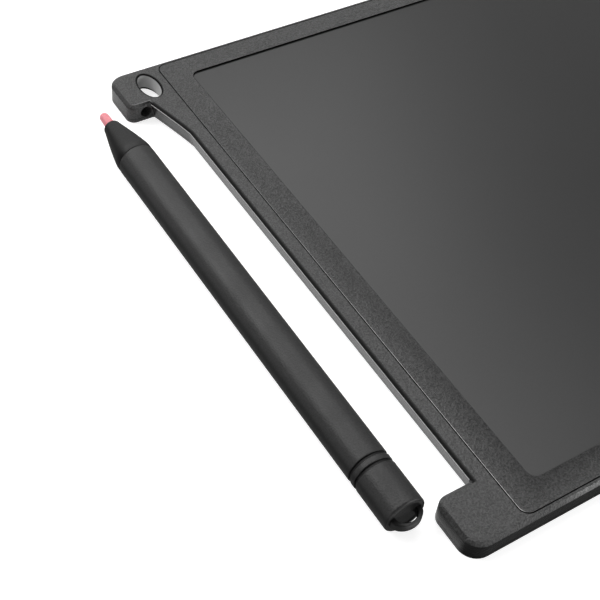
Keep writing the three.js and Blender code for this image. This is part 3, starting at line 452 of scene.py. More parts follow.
finishes = {
    "housing_plastic": grained("moulded ABS housing", housing),
    "bezel_sheet": grained("sandy printed bezel sheet", bezelSheet),
    "screen_film": grained("hard-coated display film", screenFilm),
    "black_film": grained("blackened back film", blackFilm),
    "tape": grained("foam tape", foamTape),
    "support_board": grained("pressed board", pressedBoard),
    "circuit_laminate": grained("solder mask", solderMask),
    "component_black": grained("component epoxy", componentEpoxy),
    "ceramic": grained("capacitor ceramic", capacitorCeramic),
    "polyimide": grained("polyimide tail", polyimideTail),
    "connector_nylon": grained("connector nylon", connectorNylon),
    "steel": grained("plated steel", platedSteel),
    "nickel": grained("nickel plate", nickelPlate),
    "stylus_plastic": grained("satin ABS stylus", stylusSatin),
    "nib_plastic": grained("pink acetal nib", nibAcetal),
}
print("materials made:", len(finishes))


# Tablet housing

tablet = {
    "cornerRadius": 4.0,
    "edgeSlope": 0.8,  # width and height of the slope round the top
    "slotDepth": 8.6,
    "lugWidth": 12.6,
    "slotLip": 0.44,  # height and width of the slope over the slot's wall
    "slotRollOff": 0.56,  # width of the faint fall beside it
    "slotFall": 0.03,
    "slotLean": 1.15,
    "taperLength": 13.4,
    "taperRise": 3.35,
    "taperPower": 1.12,
    "slotCorner": 0.4,
    "slotMargin": 0.3,  # where the slot's marks stop before its corners
    "upperLugRadius": 2.0,
    "lowerLugRadius": 2.8,
    "wall": 1.3,
    "cavityRadius": 2.5,
    "undersideZ": 3.78,  # of the front cover's top
    "partingEdge": 0.06,
    "outerReaches": (0.03, 0.17, 0.24),  # of the outside's soft corners, from the parting line up
    "slotReaches": (0.03, 0.16, 0.14),
    "topFlat": (0.32, 0.38),  # rings on the flat top, past the slope
    "slotFlat": 0.06,  # the same, past the slot's fall
    "steps": 14,
    "sharpDegrees": 40,
}
tabletLow, tabletHigh = span("front_cover")
panelLow, panelHigh = span("bezel_panel")
filmLow, filmHigh = span("lcd_front_film")
buttonLow, buttonHigh = span("erase_button")
topZ, seamZ, undersideZ = tabletHigh[2], tabletLow[2], tablet["undersideZ"]
slopeZ, slotEndY = topZ - tablet["edgeSlope"], tabletHigh[1] - tablet["lugWidth"]


# How far the slot's wall leans back under its lip: nothing at the lip, the full lean at z = 0.
def slotLeanAt(z):
    lipZ = topZ - tablet["slotLip"]
    return tablet["slotLean"] * (lipZ - z) / lipZ


# The tablet's outline seen from above, with the slot's wall at its own inset and height. Straight
# sides joined by arcs; beside the upper lug the slot's wall moves outwards by rise * share^power;
# round the slot's two inner corners inset and height pass from the outer values to the slot's.
def tabletRing(inset, z, slotInset, slotZ):
    t = tablet
    n = t["steps"]
    left, right = tabletLow[0] + inset, tabletHigh[0] - inset
    side, endY = tabletHigh[1] - inset, slotEndY + inset
    outer, upper, lower = (t[k] - inset for k in ("cornerRadius", "upperLugRadius", "lowerLugRadius"))
    wallX = tabletLow[0] + t["slotDepth"] + slotInset
    taperY, corner = slotEndY - t["taperLength"], t["slotCorner"]
    endShare = (endY - corner - taperY) / t["taperLength"]
    blend = np.linspace(0, 1, n + 1)
    share = endShare * (1 - blend)
    taperX = wallX - t["taperRise"] * share ** t["taperPower"]
    taper = np.stack([taperX, taperY + t["taperLength"] * share], 1)
    cornerX = taper[0, 0] - corner
    parts = [
        (arc(right - outer, side - outer, outer, 0, 1, n), 0),
        (arc(left + outer, side - outer, outer, 1, 2, n), 0),
        (arc(left + upper, endY + upper, upper, 2, 3, n), 0),
        (arc(cornerX, endY - corner, corner, 1, 0, n)[:-1], blend[:-1]),
        (taper, 1),
        (arc(wallX - corner, -endY + corner, corner, 0, -1, n), blend[::-1]),
        (arc(left + lower, -endY - lower, lower, 1, 2, n), 0),
        (arc(left + outer, -side + outer, outer, 2, 3, n), 0),
        (np.linspace((left + outer, -side), (right - outer, -side), 3 * n)[1:-1], 0),
        (arc(right - outer, -side + outer, outer, 3, 4, n), 0),
    ]
    points = np.concatenate([p for p, _ in parts])
    slotShare = np.concatenate([np.broadcast_to(s, len(p)) for p, s in parts])
    return np.column_stack([points, z + (slotZ - z) * slotShare])


def cavityOutline():
    left = tabletLow[0] + tablet["slotDepth"] + tablet["slotLean"] + tablet["wall"]
    right = tabletHigh[0] - tablet["wall"]
    width = tabletHigh[1] - tabletLow[1] - 2 * tablet["wall"]
    return roundedRectangle((left + right) / 2, 0, right - left, width, tablet["cavityRadius"])


# A rounded rectangle round a node's box.
def around(low, high, grow, radius):
    return roundedRectangle(
        (low[0] + high[0]) / 2, (low[1] + high[1]) / 2, high[0] - low[0] + 2 * grow,
        high[1] - low[1] + 2 * grow, radius + grow,
    )


lanyard = {
    "fromEnd": 8.05, "fromSide": 6.9, "halfX": 2.35, "halfY": 4.3, "lip": 0.34, "steps": 72,
    "rims": 1.3,  # how far its rims reach, as a share of the half axes
    "shoulder": 0.24, "shoulderDrop": 0.012,  # barely sloped band round the upper mouth
}
holeX, holeY = tabletLow[0] + lanyard["fromEnd"], tabletHigh[1] - lanyard["fromSide"]
nibHole = {
    "fromEnd": 4.25, "z": 2.52, "radius": 1.33, "depth": 4.7, "steps": 48,
    "mouth": 1.42, "mouthDepth": 0.4, "bow": (0.05, 0.15),  # how much wider the curve is, how deep
}
panelFit = {
    "radius": 2.2, "slip": 0.19, "lip": 0.07, "edge": 0.09, "steps": 16, "sharpDegrees": 50,
    "windowX": 6.34, "windowY": 5.7, "windowRadius": 2.0,  # width of the panel's strips
    "flat": 0.05,  # to a second ring on the flat, which keeps the marks of the edge on the edge
}
screenFit = {"radius": 1.0, "clearance": 0.3}
buttonFit = {
    "slip": 0.15, "lip": 0.12, "flange": 1.0, "steps": 24, "sharpDegrees": 45,
    "flangeTop": 0.04, "flangeFoot": 0.44,  # below the cover's underside
    "postRadius": 1.5,
    "crown": (1.35, 2.4),  # insets of the flat top
    "crownDrop": 0.02, "crownReaches": (0.2, 0.25), "crownSteps": 7,
}
pin = {"radius": 1.0, "inset": 4.2, "steps": 8, "seam": 0.04, "foot": 0.15, "root": 0.02}


# An ellipse whose half axes grow by lip * (1 - cos a) towards both faces of the tablet.
def lanyardCutter():
    turn = np.linspace(0, 2 * math.pi, lanyard["steps"], endpoint=False)
    lip = lanyard["lip"]

    def ellipse(grow):
        return np.stack([
            holeX + (lanyard["halfX"] + grow) * np.cos(turn),
            holeY + (lanyard["halfY"] + grow) * np.sin(turn),
        ], 1)

    t = np.linspace(0, math.pi / 2, 7)
    low = [(lip * (1 - math.sin(a)), lip * (1 - math.cos(a))) for a in t]
    edgeZ = topZ - lanyard["shoulderDrop"]
    high = [(lip * (1 - math.cos(a)), edgeZ - lip * (1 - math.sin(a))) for a in t]
    wide = lip + lanyard["shoulder"]
    levels = [(lip, -overrun)] + low + high + [(wide, topZ), (wide, topZ + overrun)]
    return skin("lanyard_cut", [atHeight(ellipse(grow), z) for grow, z in levels])


# A cutter for the hole that takes the nib: a bore that widens to its mouth in the slot's end wall.
def nibCutter():
    mouth, radius, bow = nibHole["mouth"], nibHole["radius"], nibHole["bow"]
    start, end = slotEndY - overrun, slotEndY + nibHole["depth"]
    profile = [
        (0, start), (mouth, start), (mouth, slotEndY), (radius + bow[0], slotEndY + bow[1]),
        (radius, slotEndY + nibHole["mouthDepth"]), (radius, end), (0, end),
    ]
    return lathe("nib_cut", profile, tabletLow[0] + nibHole["fromEnd"], nibHole["z"], nibHole["steps"])


# The outside goes up a straight wall, over the sloped edge and onto the flat top; the slot's wall
# leans back below its lip, and the top falls a little beside it. The last ring on the flat keeps the
# marks of the edges off the top.
def frontCover():
    slope, lip, edge = tablet["edgeSlope"], tablet["slotLip"], tablet["partingEdge"]
    roll, fit = lip + tablet["slotRollOff"], buttonFit
    flat, farFlat = tablet["topFlat"]
    outer = softCorners([
        (edge, seamZ), (0, seamZ + edge), (0, slopeZ), (slope, topZ), (slope + flat, topZ),
    ], tablet["outerReaches"]).tolist() + [(slope + farFlat, topZ)]
    slot = softCorners([
        (slotLeanAt(seamZ) + edge, seamZ), (slotLeanAt(seamZ + edge), seamZ + edge),
        (0, topZ - lip), (lip, topZ - tablet["slotFall"]), (roll, topZ),
    ], tablet["slotReaches"]).tolist() + [(roll + tablet["slotFlat"], topZ)]
    rings = [tabletRing(a, za, b, zb) for (a, za), (b, zb) in zip(outer, slot)]
    body = skin("front_cover_shell", rings)
    centreX = (buttonLow[0] + buttonHigh[0]) / 2
    halfWidth = (buttonHigh[0] - buttonLow[0]) / 2 - fit["flange"]
    length = buttonHigh[1] - buttonLow[1] - 2 * fit["flange"]

    def recess(grow):
        return around(panelLow, panelHigh, panelFit["slip"] + grow, panelFit["radius"])

    def buttonHole(grow):
        gap = fit["slip"] + grow
        width = 2 * (halfWidth + gap)
        return roundedRectangle(centreX, 0, width, length + 2 * gap, width / 2, fit["steps"])

    screenHole = around(filmLow, filmHigh, screenFit["clearance"], screenFit["radius"])
    cutters = [
        prism("cavity_cut", cavityOutline(), -overrun, undersideZ),
        flared("recess_cut", recess, filmHigh[2], topZ, panelFit["lip"]),
        prism("opening_cut", screenHole, undersideZ - overrun, topZ + overrun),
        flared("button_cut", buttonHole, undersideZ - overrun, topZ, fit["lip"]),
        lanyardCutter(),
        nibCutter(),
    ]
    combine(body, cutters, "DIFFERENCE")
    right = tabletHigh[0] - tablet["wall"] - pin["inset"]
    side = tabletHigh[1] - tablet["wall"] - pin["inset"]
    low, high, across = seamZ - pin["seam"] + pin["foot"], undersideZ + pin["root"], 2 * pin["radius"]
    pins = [
        prism("pin", roundedRectangle(x, y, across, across, pin["radius"], pin["steps"]), low, high)
        for x in (right, panelHigh[0] + pin["inset"]) for y in (side, -side)
    ]
    return shaded(combine(body, pins, "UNION"), tablet["sharpDegrees"])


# A thin sheet: its section, with softly broken edges, follows the outer and the window outline.
def bezelPanel():
    edge, steps = panelFit["edge"], panelFit["steps"]
    low, high = panelLow[2], panelHigh[2]
    x = (panelLow[0] + panelHigh[0]) / 2
    length, width = panelHigh[0] - panelLow[0], panelHigh[1] - panelLow[1]
    windowLength, windowWidth = length - 2 * panelFit["windowX"], width - 2 * panelFit["windowY"]
    outer = (x, length, width, panelFit["radius"], steps)
    window = (x, windowLength, windowWidth, panelFit["windowRadius"], steps)
    middle = edge * middleShare
    section = [
        (0, low), (0, high - edge), (middle, high - middle), (edge, high),
        (edge + panelFit["flat"], high),
    ]
    rings = [layer(*outer, inset, z) for inset, z in section]
    rings += [layer(*window, -inset, z) for inset, z in section[::-1]]
    return shaded(skin("bezel_panel_sheet", rings, loop=True), panelFit["sharpDegrees"])


# A stadium-shaped key: its edge curves over to a flat top; a flange and a post stand below.
def eraseButton():
    fit, top = buttonFit, buttonHigh[2]
    x = (buttonLow[0] + buttonHigh[0]) / 2
    length, width = buttonHigh[0] - buttonLow[0], buttonHigh[1] - buttonLow[1]
    flangeTop, flangeLow = undersideZ - fit["flangeTop"], undersideZ - fit["flangeFoot"]
    key = (x, length, width, length / 2, fit["steps"])
    post = (x, 2 * fit["postRadius"], 2 * fit["postRadius"], fit["postRadius"], fit["steps"])
    over = softCorners([
        (fit["flange"], flangeTop), (fit["flange"], top - fit["crownDrop"]),
        *((inset, top) for inset in fit["crown"]),
    ], fit["crownReaches"], fit["crownSteps"])
    rings = [layer(*post, 0, z) for z in (buttonLow[2], flangeLow)]
    rings += [layer(*key, inset, z) for inset, z in [(0, flangeLow), (0, flangeTop), *over]]
    return shaded(skin("erase_button_key", rings), fit["sharpDegrees"])


# Stylus

stylus = {
    "radius": 4.41,
    "bore": 3.2,
    "groove": 0.4,
    "grooveWidth": 0.68,
    "grooveReach": 0.192,  # of the soft edges beside the grooves
    "fit": 0.04,  # gap round the spigots and round the nib
    "fine": 0.03,  # reach of the hidden corners
    "steps": 112,
    "profileSteps": 7,
    "ringSteps": 6,
    "sharpDegrees": 50,
    "noseTip": 2.05,
    "noseBase": 4.36,
    "noseRound": 0.9,
    "noseCollar": 1.58,
    "nosePower": 1.15,
    "noseSteps": 40,
    "mouthPower": 0.8,
    "mouthSteps": 8,
    "jointEdge": 0.16,  # soft edges beside the joint of nose and barrel
    "jointStep": 0.02,
    "noseSpigot": 5.0,
    "shoulder": 0.495,
    "shoulderReach": 0.3,
    "boreReach": 0.05,
    "nibRadius": 1.24,
    "nibTip": 1.06,
    "nibInside": 6.0,
    "nibBulge": 0.04,
    "nibRound": 0.5,
    "nibFlat": 0.62,  # share of the tip's radius
    "nibReaches": (0.05, 0.3, 0.45, 0.35),
    "nibSteps": 48,
    "nibSharpDegrees": 60,
    "dish": 0.2,
    "dishRadius": 3.2,
    "dishWall": 0.3,
    "capSeat": 0.02,
    "capReaches": (0.1, 0.12, 0.55),  # from the dish to the rounded end
    "capTipReach": 0.2,
    "loopHalf": 3.45,
    "loopReach": 2.5,
    "loopThick": 2.0,
    "eyeHalf": 2.3,
    "eyeReach": 1.85,
    "eyeRoot": 0.7,  # depth of the eye's ends in the cap
    "eyeRound": 0.3,
    "eyeSteps": 48,
}
barrelLow, barrelHigh = span("stylus_barrel")
axisX, axisZ = (barrelLow[0] + barrelHigh[0]) / 2, (barrelLow[2] + barrelHigh[2]) / 2


def turnedPiece(name, profile, loop=False):
    return shaded(lathe(name, profile, axisX, axisZ, stylus["steps"], loop), stylus["sharpDegrees"])


# A rod, slightly thinner at its rounded end.
def stylusNib():
    s = stylus
    low, high = (v[1] for v in span("stylus_nib"))
    profile = softCorners([
        (0, low), (s["nibRadius"], low), (s["nibRadius"], low + s["nibInside"]),
        (s["nibTip"] + s["nibBulge"], high - s["nibRound"]), (s["nibTip"] * s["nibFlat"], high),
        (0, high),
    ], s["nibReaches"], s["profileSteps"])
    return shaded(lathe("stylus_nib_rod", profile, axisX, axisZ, s["nibSteps"]), s["nibSharpDegrees"])


# Radius = base - (base - tip) * share^power past the collar; the tip's rim is bore + (tip - bore) *
# cos(a)^power; a bore takes the nib.
def noseCone():
    s = stylus
    low, high = (v[1] for v in span("stylus_nose_cone"))
    start, wide, edge = low + s["noseSpigot"], s["noseBase"], s["jointEdge"]
    share = np.linspace(0, 1, s["noseSteps"])
    taper = high - s["noseRound"] - start - s["noseCollar"]
    slope = np.stack([
        wide - (wide - s["noseTip"]) * share ** s["nosePower"], start + s["noseCollar"] + taper * share,
    ], 1)
    bore = s["nibRadius"] + s["fit"]
    a = np.linspace(0, math.pi / 2, s["mouthSteps"] + 1)[1:]
    rim = bore + (s["noseTip"] - bore) * np.cos(a) ** s["mouthPower"]
    mouth = np.stack([rim, high - s["noseRound"] * (1 - np.sin(a))], 1)
    inner = high - s["nibInside"] - s["fit"]
    spigot = s["bore"] - s["fit"]
    profile = np.concatenate([
        [(0, low), (spigot, low), (spigot, start), (wide - edge, start)],
        [(wide - edge * middleShare, start + edge * middleShare), (wide, start + edge)],
        slope, mouth, [(bore, inner), (0, inner)],
    ])
    return turnedPiece("stylus_nose", profile)


# A tube, drawn in a little towards the nose, and softly broken at the other end.
def barrel():
    s = stylus
    back, front = barrelLow[1], barrelHigh[1]
    bore, middle = s["bore"], (back + front) / 2
    profile = softCorners([
        (bore, middle), (bore, back), (s["radius"], back), (s["radius"], front - s["shoulder"]),
        (s["noseBase"] + s["jointStep"], front), (bore, front), (bore, middle),
    ], [
        s["boreReach"], s["grooveReach"], s["shoulderReach"], s["jointEdge"], s["boreReach"],
    ], s["profileSteps"])[:-1]
    return turnedPiece("stylus_barrel_tube", profile, loop=True)


def stylusRing():
    s = stylus
    back, front = (v[1] for v in span("stylus_ring"))
    inner, middle = s["radius"] - s["groove"] + s["fit"], (back + front) / 2
    profile = softCorners([
        (inner, middle), (inner, back), (s["radius"], back), (s["radius"], front), (inner, front),
        (inner, middle),
    ], [s["fine"], s["grooveReach"], s["grooveReach"], s["fine"]], s["ringSteps"])[:-1]
    return turnedPiece("stylus_ring_band", profile, loop=True)


# A turned cap with a dished end, and a flat eye that follows half an ellipse out of it.
def endCap():
    s = stylus
    low, high = (v[1] for v in span("stylus_end_cap"))
    backY, dishY = low + s["loopReach"], low + s["loopReach"] + s["dish"]
    seatY = barrelLow[1] - s["capSeat"]
    frontY = span("stylus_ring")[0][1] - s["grooveWidth"]
    neck, spigot = s["radius"] - s["groove"], s["bore"] - s["fit"]
    profile = softCorners([
        (0, dishY), (s["dishRadius"], dishY), (s["dishRadius"] + s["dishWall"], backY),
        (s["radius"], backY), (s["radius"], frontY), (neck, frontY), (neck, seatY), (spigot, seatY),
        (spigot, high), (0, high),
    ], [*s["capReaches"], s["grooveReach"], *[s["fine"]] * 3, s["capTipReach"]], s["profileSteps"])
    cap = lathe("stylus_cap", profile, axisX, axisZ, s["steps"])
    turn = np.linspace(math.pi, 2 * math.pi, s["eyeSteps"] + 1)
    half = s["loopThick"] / 2

    def band(halfWidth, reach, root, z):
        x = np.concatenate([[-halfWidth], halfWidth * np.cos(turn), [halfWidth]])
        y = np.concatenate([[root], backY + reach * np.sin(turn), [root]])
        return np.stack([axisX + x, y, np.full(len(x), axisZ + z)], 1)

    # Section of the eye: a rectangle with soft corners, between the inner and the outer ellipse.
    corners = [(0.5, -half), (1, -half), (1, half), (0, half), (0, -half), (0.5, -half)]
    section = softCorners(corners, [s["eyeRound"]] * 4)[:-1]
    grown = (s["loopHalf"] - s["eyeHalf"], s["loopReach"] - s["eyeReach"])
    root = backY + s["eyeRoot"]
    rows = [
        band(s["eyeHalf"] + share * grown[0], s["eyeReach"] + share * grown[1], root, z)
        for share, z in section
    ]
    eye = skin("eye", np.stack(rows, 1))
    return shaded(combine(cap, [eye], "UNION"), s["sharpDegrees"])


# Each visible piece with its body, its finish's slot and the CAD node that it stands for.
pieces = [
    (frontCover(), "tablet", "housing_plastic", "front_cover"),
    (bezelPanel(), "tablet", "bezel_sheet", "bezel_panel"),
    (eraseButton(), "button", "housing_plastic", "erase_button"),
    (stylusNib(), "stylus", "nib_plastic", "stylus_nib"),
    (noseCone(), "stylus", "stylus_plastic", "stylus_nose_cone"),
    (barrel(), "stylus", "stylus_plastic", "stylus_barrel"),
    (stylusRing(), "stylus", "stylus_plastic", "stylus_ring"),
    (endCap(), "stylus", "stylus_plastic", "stylus_end_cap"),
]
print("visible pieces made:", len(pieces))


# Marks of use, painted shade and painted highlights

# Distance outwards from a rounded rectangle that lies inside a node's box, seen from above.
def fromOutline(x, y, low, high, inset, radius):
    far = [np.abs(v - (low[i] + high[i]) / 2) - (high[i] - low[i]) / 2 + inset[i] + radius
           for i, v in enumerate((x, y))]
    return np.hypot(*np.maximum(far, 0)) + np.minimum(np.maximum(*far), 0) - radius


def between(value, low, high):
    return (value > low) & (value < high)


def besideSlot(y):
    return np.abs(y) < slotEndY - tablet["slotMargin"]


# Place in the lanyard hole: 0 at its middle, 1 at its wall, across and along; and whether a point is
# in the hole or on its rims.
def holeShare(x, y):
    across, along = (x - holeX) / lanyard["halfX"], (y - holeY) / lanyard["halfY"]
    return across, along, np.hypot(across, along) < lanyard["rims"]


# A mark that fades has two places, and runs from 0 at the first to 1 at the second. Other numbers
# are shares of the mark or millimetres.
polish = {
    "foot": 0.06, "fade": 0.08,
    "upperLug": 0.06, "upperLugY": (64, 71.5),
    "lowerLugZ": (2, 3.8),
    "sideX": (101.2, 101.8),  # on the stylus's side, so it is -x
    "sideY": (0.6, 3),  # from the -Y side
    "slope": 0.6, "slopeY": 0.9, "slopeZ": 0.02, "slopeX": (-94, -88),
}


# 1 on the walls of the stylus's side and in the lanyard hole, below their top edges; less high on
# the lower lug, towards the upper lug's inner side and on the -Y slope; 0 on the -Y wall.
def rubbed(x, y, z):
    p = polish
    inSlot = besideSlot(y)
    wallTop = np.where(inSlot, topZ - tablet["slotLip"], slopeZ)
    upper = p["upperLug"] + (1 - p["upperLug"]) * smoothStep(y, *p["upperLugY"])
    lower = 1 - smoothStep(z, *p["lowerLugZ"])
    share = np.where(inSlot, 1, np.where(y < 0, lower, upper))
    side = smoothStep(-x, *p["sideX"]) * smoothStep(y - tabletLow[1], *p["sideY"])
    walls = (1 - smoothStep(z, wallTop - p["fade"], wallTop)) * side * share * (z > p["foot"])
    slope = (y < tabletLow[1] + p["slopeY"]) & (z > slopeZ + p["slopeZ"])
    return np.maximum(walls, slope * smoothStep(x, *p["slopeX"]) * p["slope"])


paintedShadeZones = {
    "sideY": (2.5, 5), "sideZ": (-0.1, 0.2),
    "lipEnd": 0.75, "lipFlat": 0.03, "lipFoot": 0.04, "lipTop": 0.01, "lip": (0.95, 0.45),
    "lugSlope": 0.02, "lugs": (0.5, 0.4),  # shares on the lower and the upper lug's slope
    "lowerLug": 0.75, "lowerLugX": 0.5, "lowerLugZ": (1.2, 3.6),
    "mouthZ": (-0.27, -0.005),  # from the top
    "foot": 0.9, "footZ": (0.06, 0.4), "footAlong": (0, 0.7),
}


# Painted shade, a darker colour with almost no gloss: 1 on the -Y wall and round its corners, and in
# the lanyard hole's upper mouth; nearly 1 on the slope over the slot's wall and at the hole's foot;
# less on the lugs' slopes and high on the lower lug's wall.
def painted_shade(x, y, z):
    d = paintedShadeZones
    side = 1 - smoothStep(y - tabletLow[1], *d["sideY"])
    side *= 1 - smoothStep(z - slopeZ, *d["sideZ"])
    rise = np.maximum((y - slotEndY) / tablet["taperLength"] + 1, 0) ** tablet["taperPower"]
    inset = x - tabletLow[0] - tablet["slotDepth"] + tablet["taperRise"] * rise
    flat = tablet["slotLip"] + tablet["slotRollOff"] + d["lipFlat"]
    lip = (np.abs(y) < slotEndY + d["lipEnd"]) & between(inset, 0, flat)
    lip &= z > topZ - tablet["slotLip"] + d["lipFoot"]
    lipSlope, lipFlat = d["lip"]
    lipShare = np.where(z > topZ - d["lipTop"], lipFlat, lipSlope)
    lug = ~besideSlot(y) & (x < tabletLow[0] + tablet["edgeSlope"]) & (z > slopeZ - d["lugSlope"])
    lugShare = np.where(y < 0, *d["lugs"])
    lowerLug = (x < tabletLow[0] + d["lowerLugX"]) & (y < -slotEndY) & (z < slopeZ)
    marked = np.where(lip, lipShare, np.where(lug, lugShare, 0.0))
    _, along, atHole = holeShare(x, y)
    mouth = atHole & between(z - topZ, *d["mouthZ"])
    foot = atHole & between(z, *d["footZ"])
    footShare = d["foot"] * smoothStep(along, *d["footAlong"])
    marked = np.where(mouth, 1.0, np.where(foot, footShare, marked))
    lowerShare = d["lowerLug"] * smoothStep(z, *d["lowerLugZ"])
    return np.maximum(np.maximum(side, marked), lowerLug * lowerShare)


paintedHighlightZones = {
    "slotX": 0.3, "edge": 0.07,
    "holeFoot": 0.06, "holeTop": 0.3,  # above the base and below the top
    "upperWallZ": 1, "upperWall": 0.45, "upperAcross": (-0.4, 0.7),
    "lowerWall": 0.3, "lowerAlong": (-0.2, 0.5),
    "lug": 0.16, "lugY": 1.2, "lugX": 7, "lugDrop": 0.03, "lugEdge": 0.027,
}


# Painted highlight, a pale colour: 1 on the top edge of the slot's wall, and faint on the top edge of
# the upper lug's inner side; a painted reflection in part inside the lanyard hole.
def painted_highlight(x, y, z):
    w = paintedHighlightZones
    edge = np.abs(z - (topZ - tablet["slotLip"])) < w["edge"]
    slotX = tabletLow[0] + tablet["slotDepth"] + w["slotX"]
    slot = edge & besideSlot(y) & (x < slotX)
    across, along, atHole = holeShare(x, y)
    inside = atHole & between(z, w["holeFoot"], topZ - w["holeTop"])
    upper = w["upperWall"] + (1 - w["upperWall"]) * smoothStep(across, *w["upperAcross"])
    lower = w["lowerWall"] * (1 - smoothStep(along, *w["lowerAlong"]))
    level = np.where(z > w["upperWallZ"], upper, lower)
    lugEdge = between(y, slotEndY, slotEndY + w["lugY"]) & (x < tabletLow[0] + w["lugX"])
    lugEdge &= np.abs(topZ - w["lugDrop"] - z) < w["lugEdge"]
    return np.maximum(np.maximum(slot, lugEdge * w["lug"]), inside * level)


panelPaintedLight = {
    "rim": 0.01, "rimX": 0.1, "rimZ": 0.08,
    "rimMiddleY": (-20, 25), "rimCornerY": (0.3, 1.6),  # the second from the -Y side
    "outerEdge": 0.5, "windowEdge": 0.02, "windowY": (-10, 40),
    "side": 0.5, "sideX": (-99, -92), "sideY": (55, 64),
}


# Painted glint: 1 on the panel's upper edge on the stylus's side, from its middle to the -Y corner.
def paleRim(x, y, z):
    w, edge, radius = panelPaintedLight, panelFit["edge"], panelFit["radius"]
    inset = -fromOutline(x, y, panelLow, panelHigh, (0, 0), radius)
    rim = between(inset, edge - w["rim"], edge + w["rim"])
    reach = smoothStep(-y, *w["rimMiddleY"]) * smoothStep(y - panelLow[1], *w["rimCornerY"])
    return rim * (x < panelLow[0] + radius + w["rimX"]) * (z > panelHigh[2] - w["rimZ"]) * reach


# Painted shade in the gaps: 1 on the panel's outer edge and on the edge round its window; a little
# along its -Y side. The window's edge has no mark at the -Y end of the stylus's side.
def panelEdges(x, y, z):
    w, fit = panelPaintedLight, panelFit
    outside = fromOutline(x, y, panelLow, panelHigh, (0, 0), fit["radius"])
    windowInset = (fit["windowX"], fit["windowY"])
    window = fromOutline(x, y, panelLow, panelHigh, windowInset, fit["windowRadius"])
    seen = np.where(x > 0, 1, smoothStep(y, *w["windowY"]))
    windowEdge = (window < fit["edge"] + w["windowEdge"]) * seen
    edges = np.maximum(outside > -fit["edge"] * w["outerEdge"], windowEdge)
    return np.maximum(edges, w["side"] * smoothStep(x, *w["sideX"]) * smoothStep(-y, *w["sideY"]))


shade = {
    "least": 1e-6,  # distance from the axis, which is a divisor
    "dish": 0.5, "dishRadius": 0.1, "dishY": (0.02, 0.5),
    "joint": 0.1, "jointRadius": 0.05,
    "groove": 0.45, "grooveY": 2, "grooveRadius": 0.1,
    "nose": (0.3, 0.6), "noseUp": (0.55, 0.92),  # least share and what the lower flank adds
    "barrel": 0.8, "barrelUp": (0.25, 0.65),  # up is 1 on the stylus's highest line, 0 at its sides
}
capEndY = span("stylus_end_cap")[0][1] + stylus["loopReach"]
grooveMiddleY = (span("stylus_ring")[0][1] + span("stylus_ring")[1][1]) / 2


# Painted shade: 1 in the joint of the nose, and about half in the grooves and in the dish of the cap;
# on the lower flanks more round the nose than along the barrel.
def hollow(x, y, z):
    h, front = shade, barrelHigh[1]
    away = np.maximum(np.hypot(x - axisX, z - axisZ), h["least"])
    up = (z - axisZ) / away
    dish = between(y - capEndY, *h["dishY"]) & (away < stylus["dishRadius"] + h["dishRadius"])
    joint = (np.abs(y - front) < h["joint"]) & (away < stylus["noseBase"] - h["jointRadius"])
    groove = (np.abs(y - grooveMiddleY) < h["grooveY"]) & (away < stylus["radius"] - h["grooveRadius"])
    least, most = h["nose"]
    nose = least + most * (1 - smoothStep(up, *h["noseUp"]))
    along = h["barrel"] * (1 - smoothStep(up, *h["barrelUp"]))
    flank = np.where(y > front + h["jointRadius"], nose, along)
    return np.maximum(np.maximum(joint, np.maximum(dish * h["dish"], groove * h["groove"])), flank)


softEdges = {  # width of the broken edge on the pieces that keep their CAD shape
    "back_cover": 0.05, "lock_slider": 0.08, "battery_door": 0.06,
    "battery_door_screw": 0.04, "board_screw_1": 0.05, "board_screw_2": 0.05,
    "coin_cell_can": 0.1, "coin_cell_cap": 0.08, "circuit_board": 0.05,
    "tail_connector": 0.08, "lock_switch_body": 0.08, "lock_switch_lever": 0.08,
    "tact_switch_body": 0.08, "tact_switch_plunger": 0.08, "driver_chip": 0.04,
    "boost_inductor": 0.05, "boost_capacitor": 0.08, "bias_resistor": 0.06,
}
slotOf = {row["node"]: row["material_slot"] for row in frame["record"]["subparts"]}
bodyOf = {n: body for body, members in frame["record"]["behaviour"]["bodies"].items() for n in members}
pieces += [(softened(n, width), bodyOf[n], slotOf[n], n) for n, width in softEdges.items()]
# Masks by finish: polish that changes gloss, painted shade, and painted highlights.
marks = {
    "housing_plastic": {"rubbed": rubbed, "painted_shade": painted_shade, "painted_highlight": painted_highlight},
    "bezel_sheet": {"painted_shade": panelEdges, "painted_highlight": paleRim},
    "stylus_plastic": {"painted_shade": hollow},
}
for piece, body, slot, node in pieces:
    dress(piece, body, slot, finishes[slot], node)
    for name, rule in marks.get(slot, {}).items():
        mark(piece, name, rule)
replaced = {node for *_, node in pieces}
for node, cad in nodes.items():
    if node not in replaced:
        cad.data.materials.clear()
        cad.data.materials.append(finishes[slotOf[node]])
print("all pieces made:", len(pieces))


# Floor, lights and room

room = {
    "floorColour": 0xC8C8C8,
    "glowSeen": 0.78,  # lifts the floor to white where the picture sees it
    "glowReflected": 0.4,  # and where a gloss reflects it
    "floorSize": 6.0,
    "floorGap": 0.03,  # millimetres below the pieces that rest on it
    "dimSide": 0.15,  # strength of the room's light from the stylus's side, -X
    "lightSide": 0.45,
    "fade": (-0.8, 0.5),  # X of the directions between which it changes
    "white": 1.0,  # strength at which the eye sees the backdrop white
}


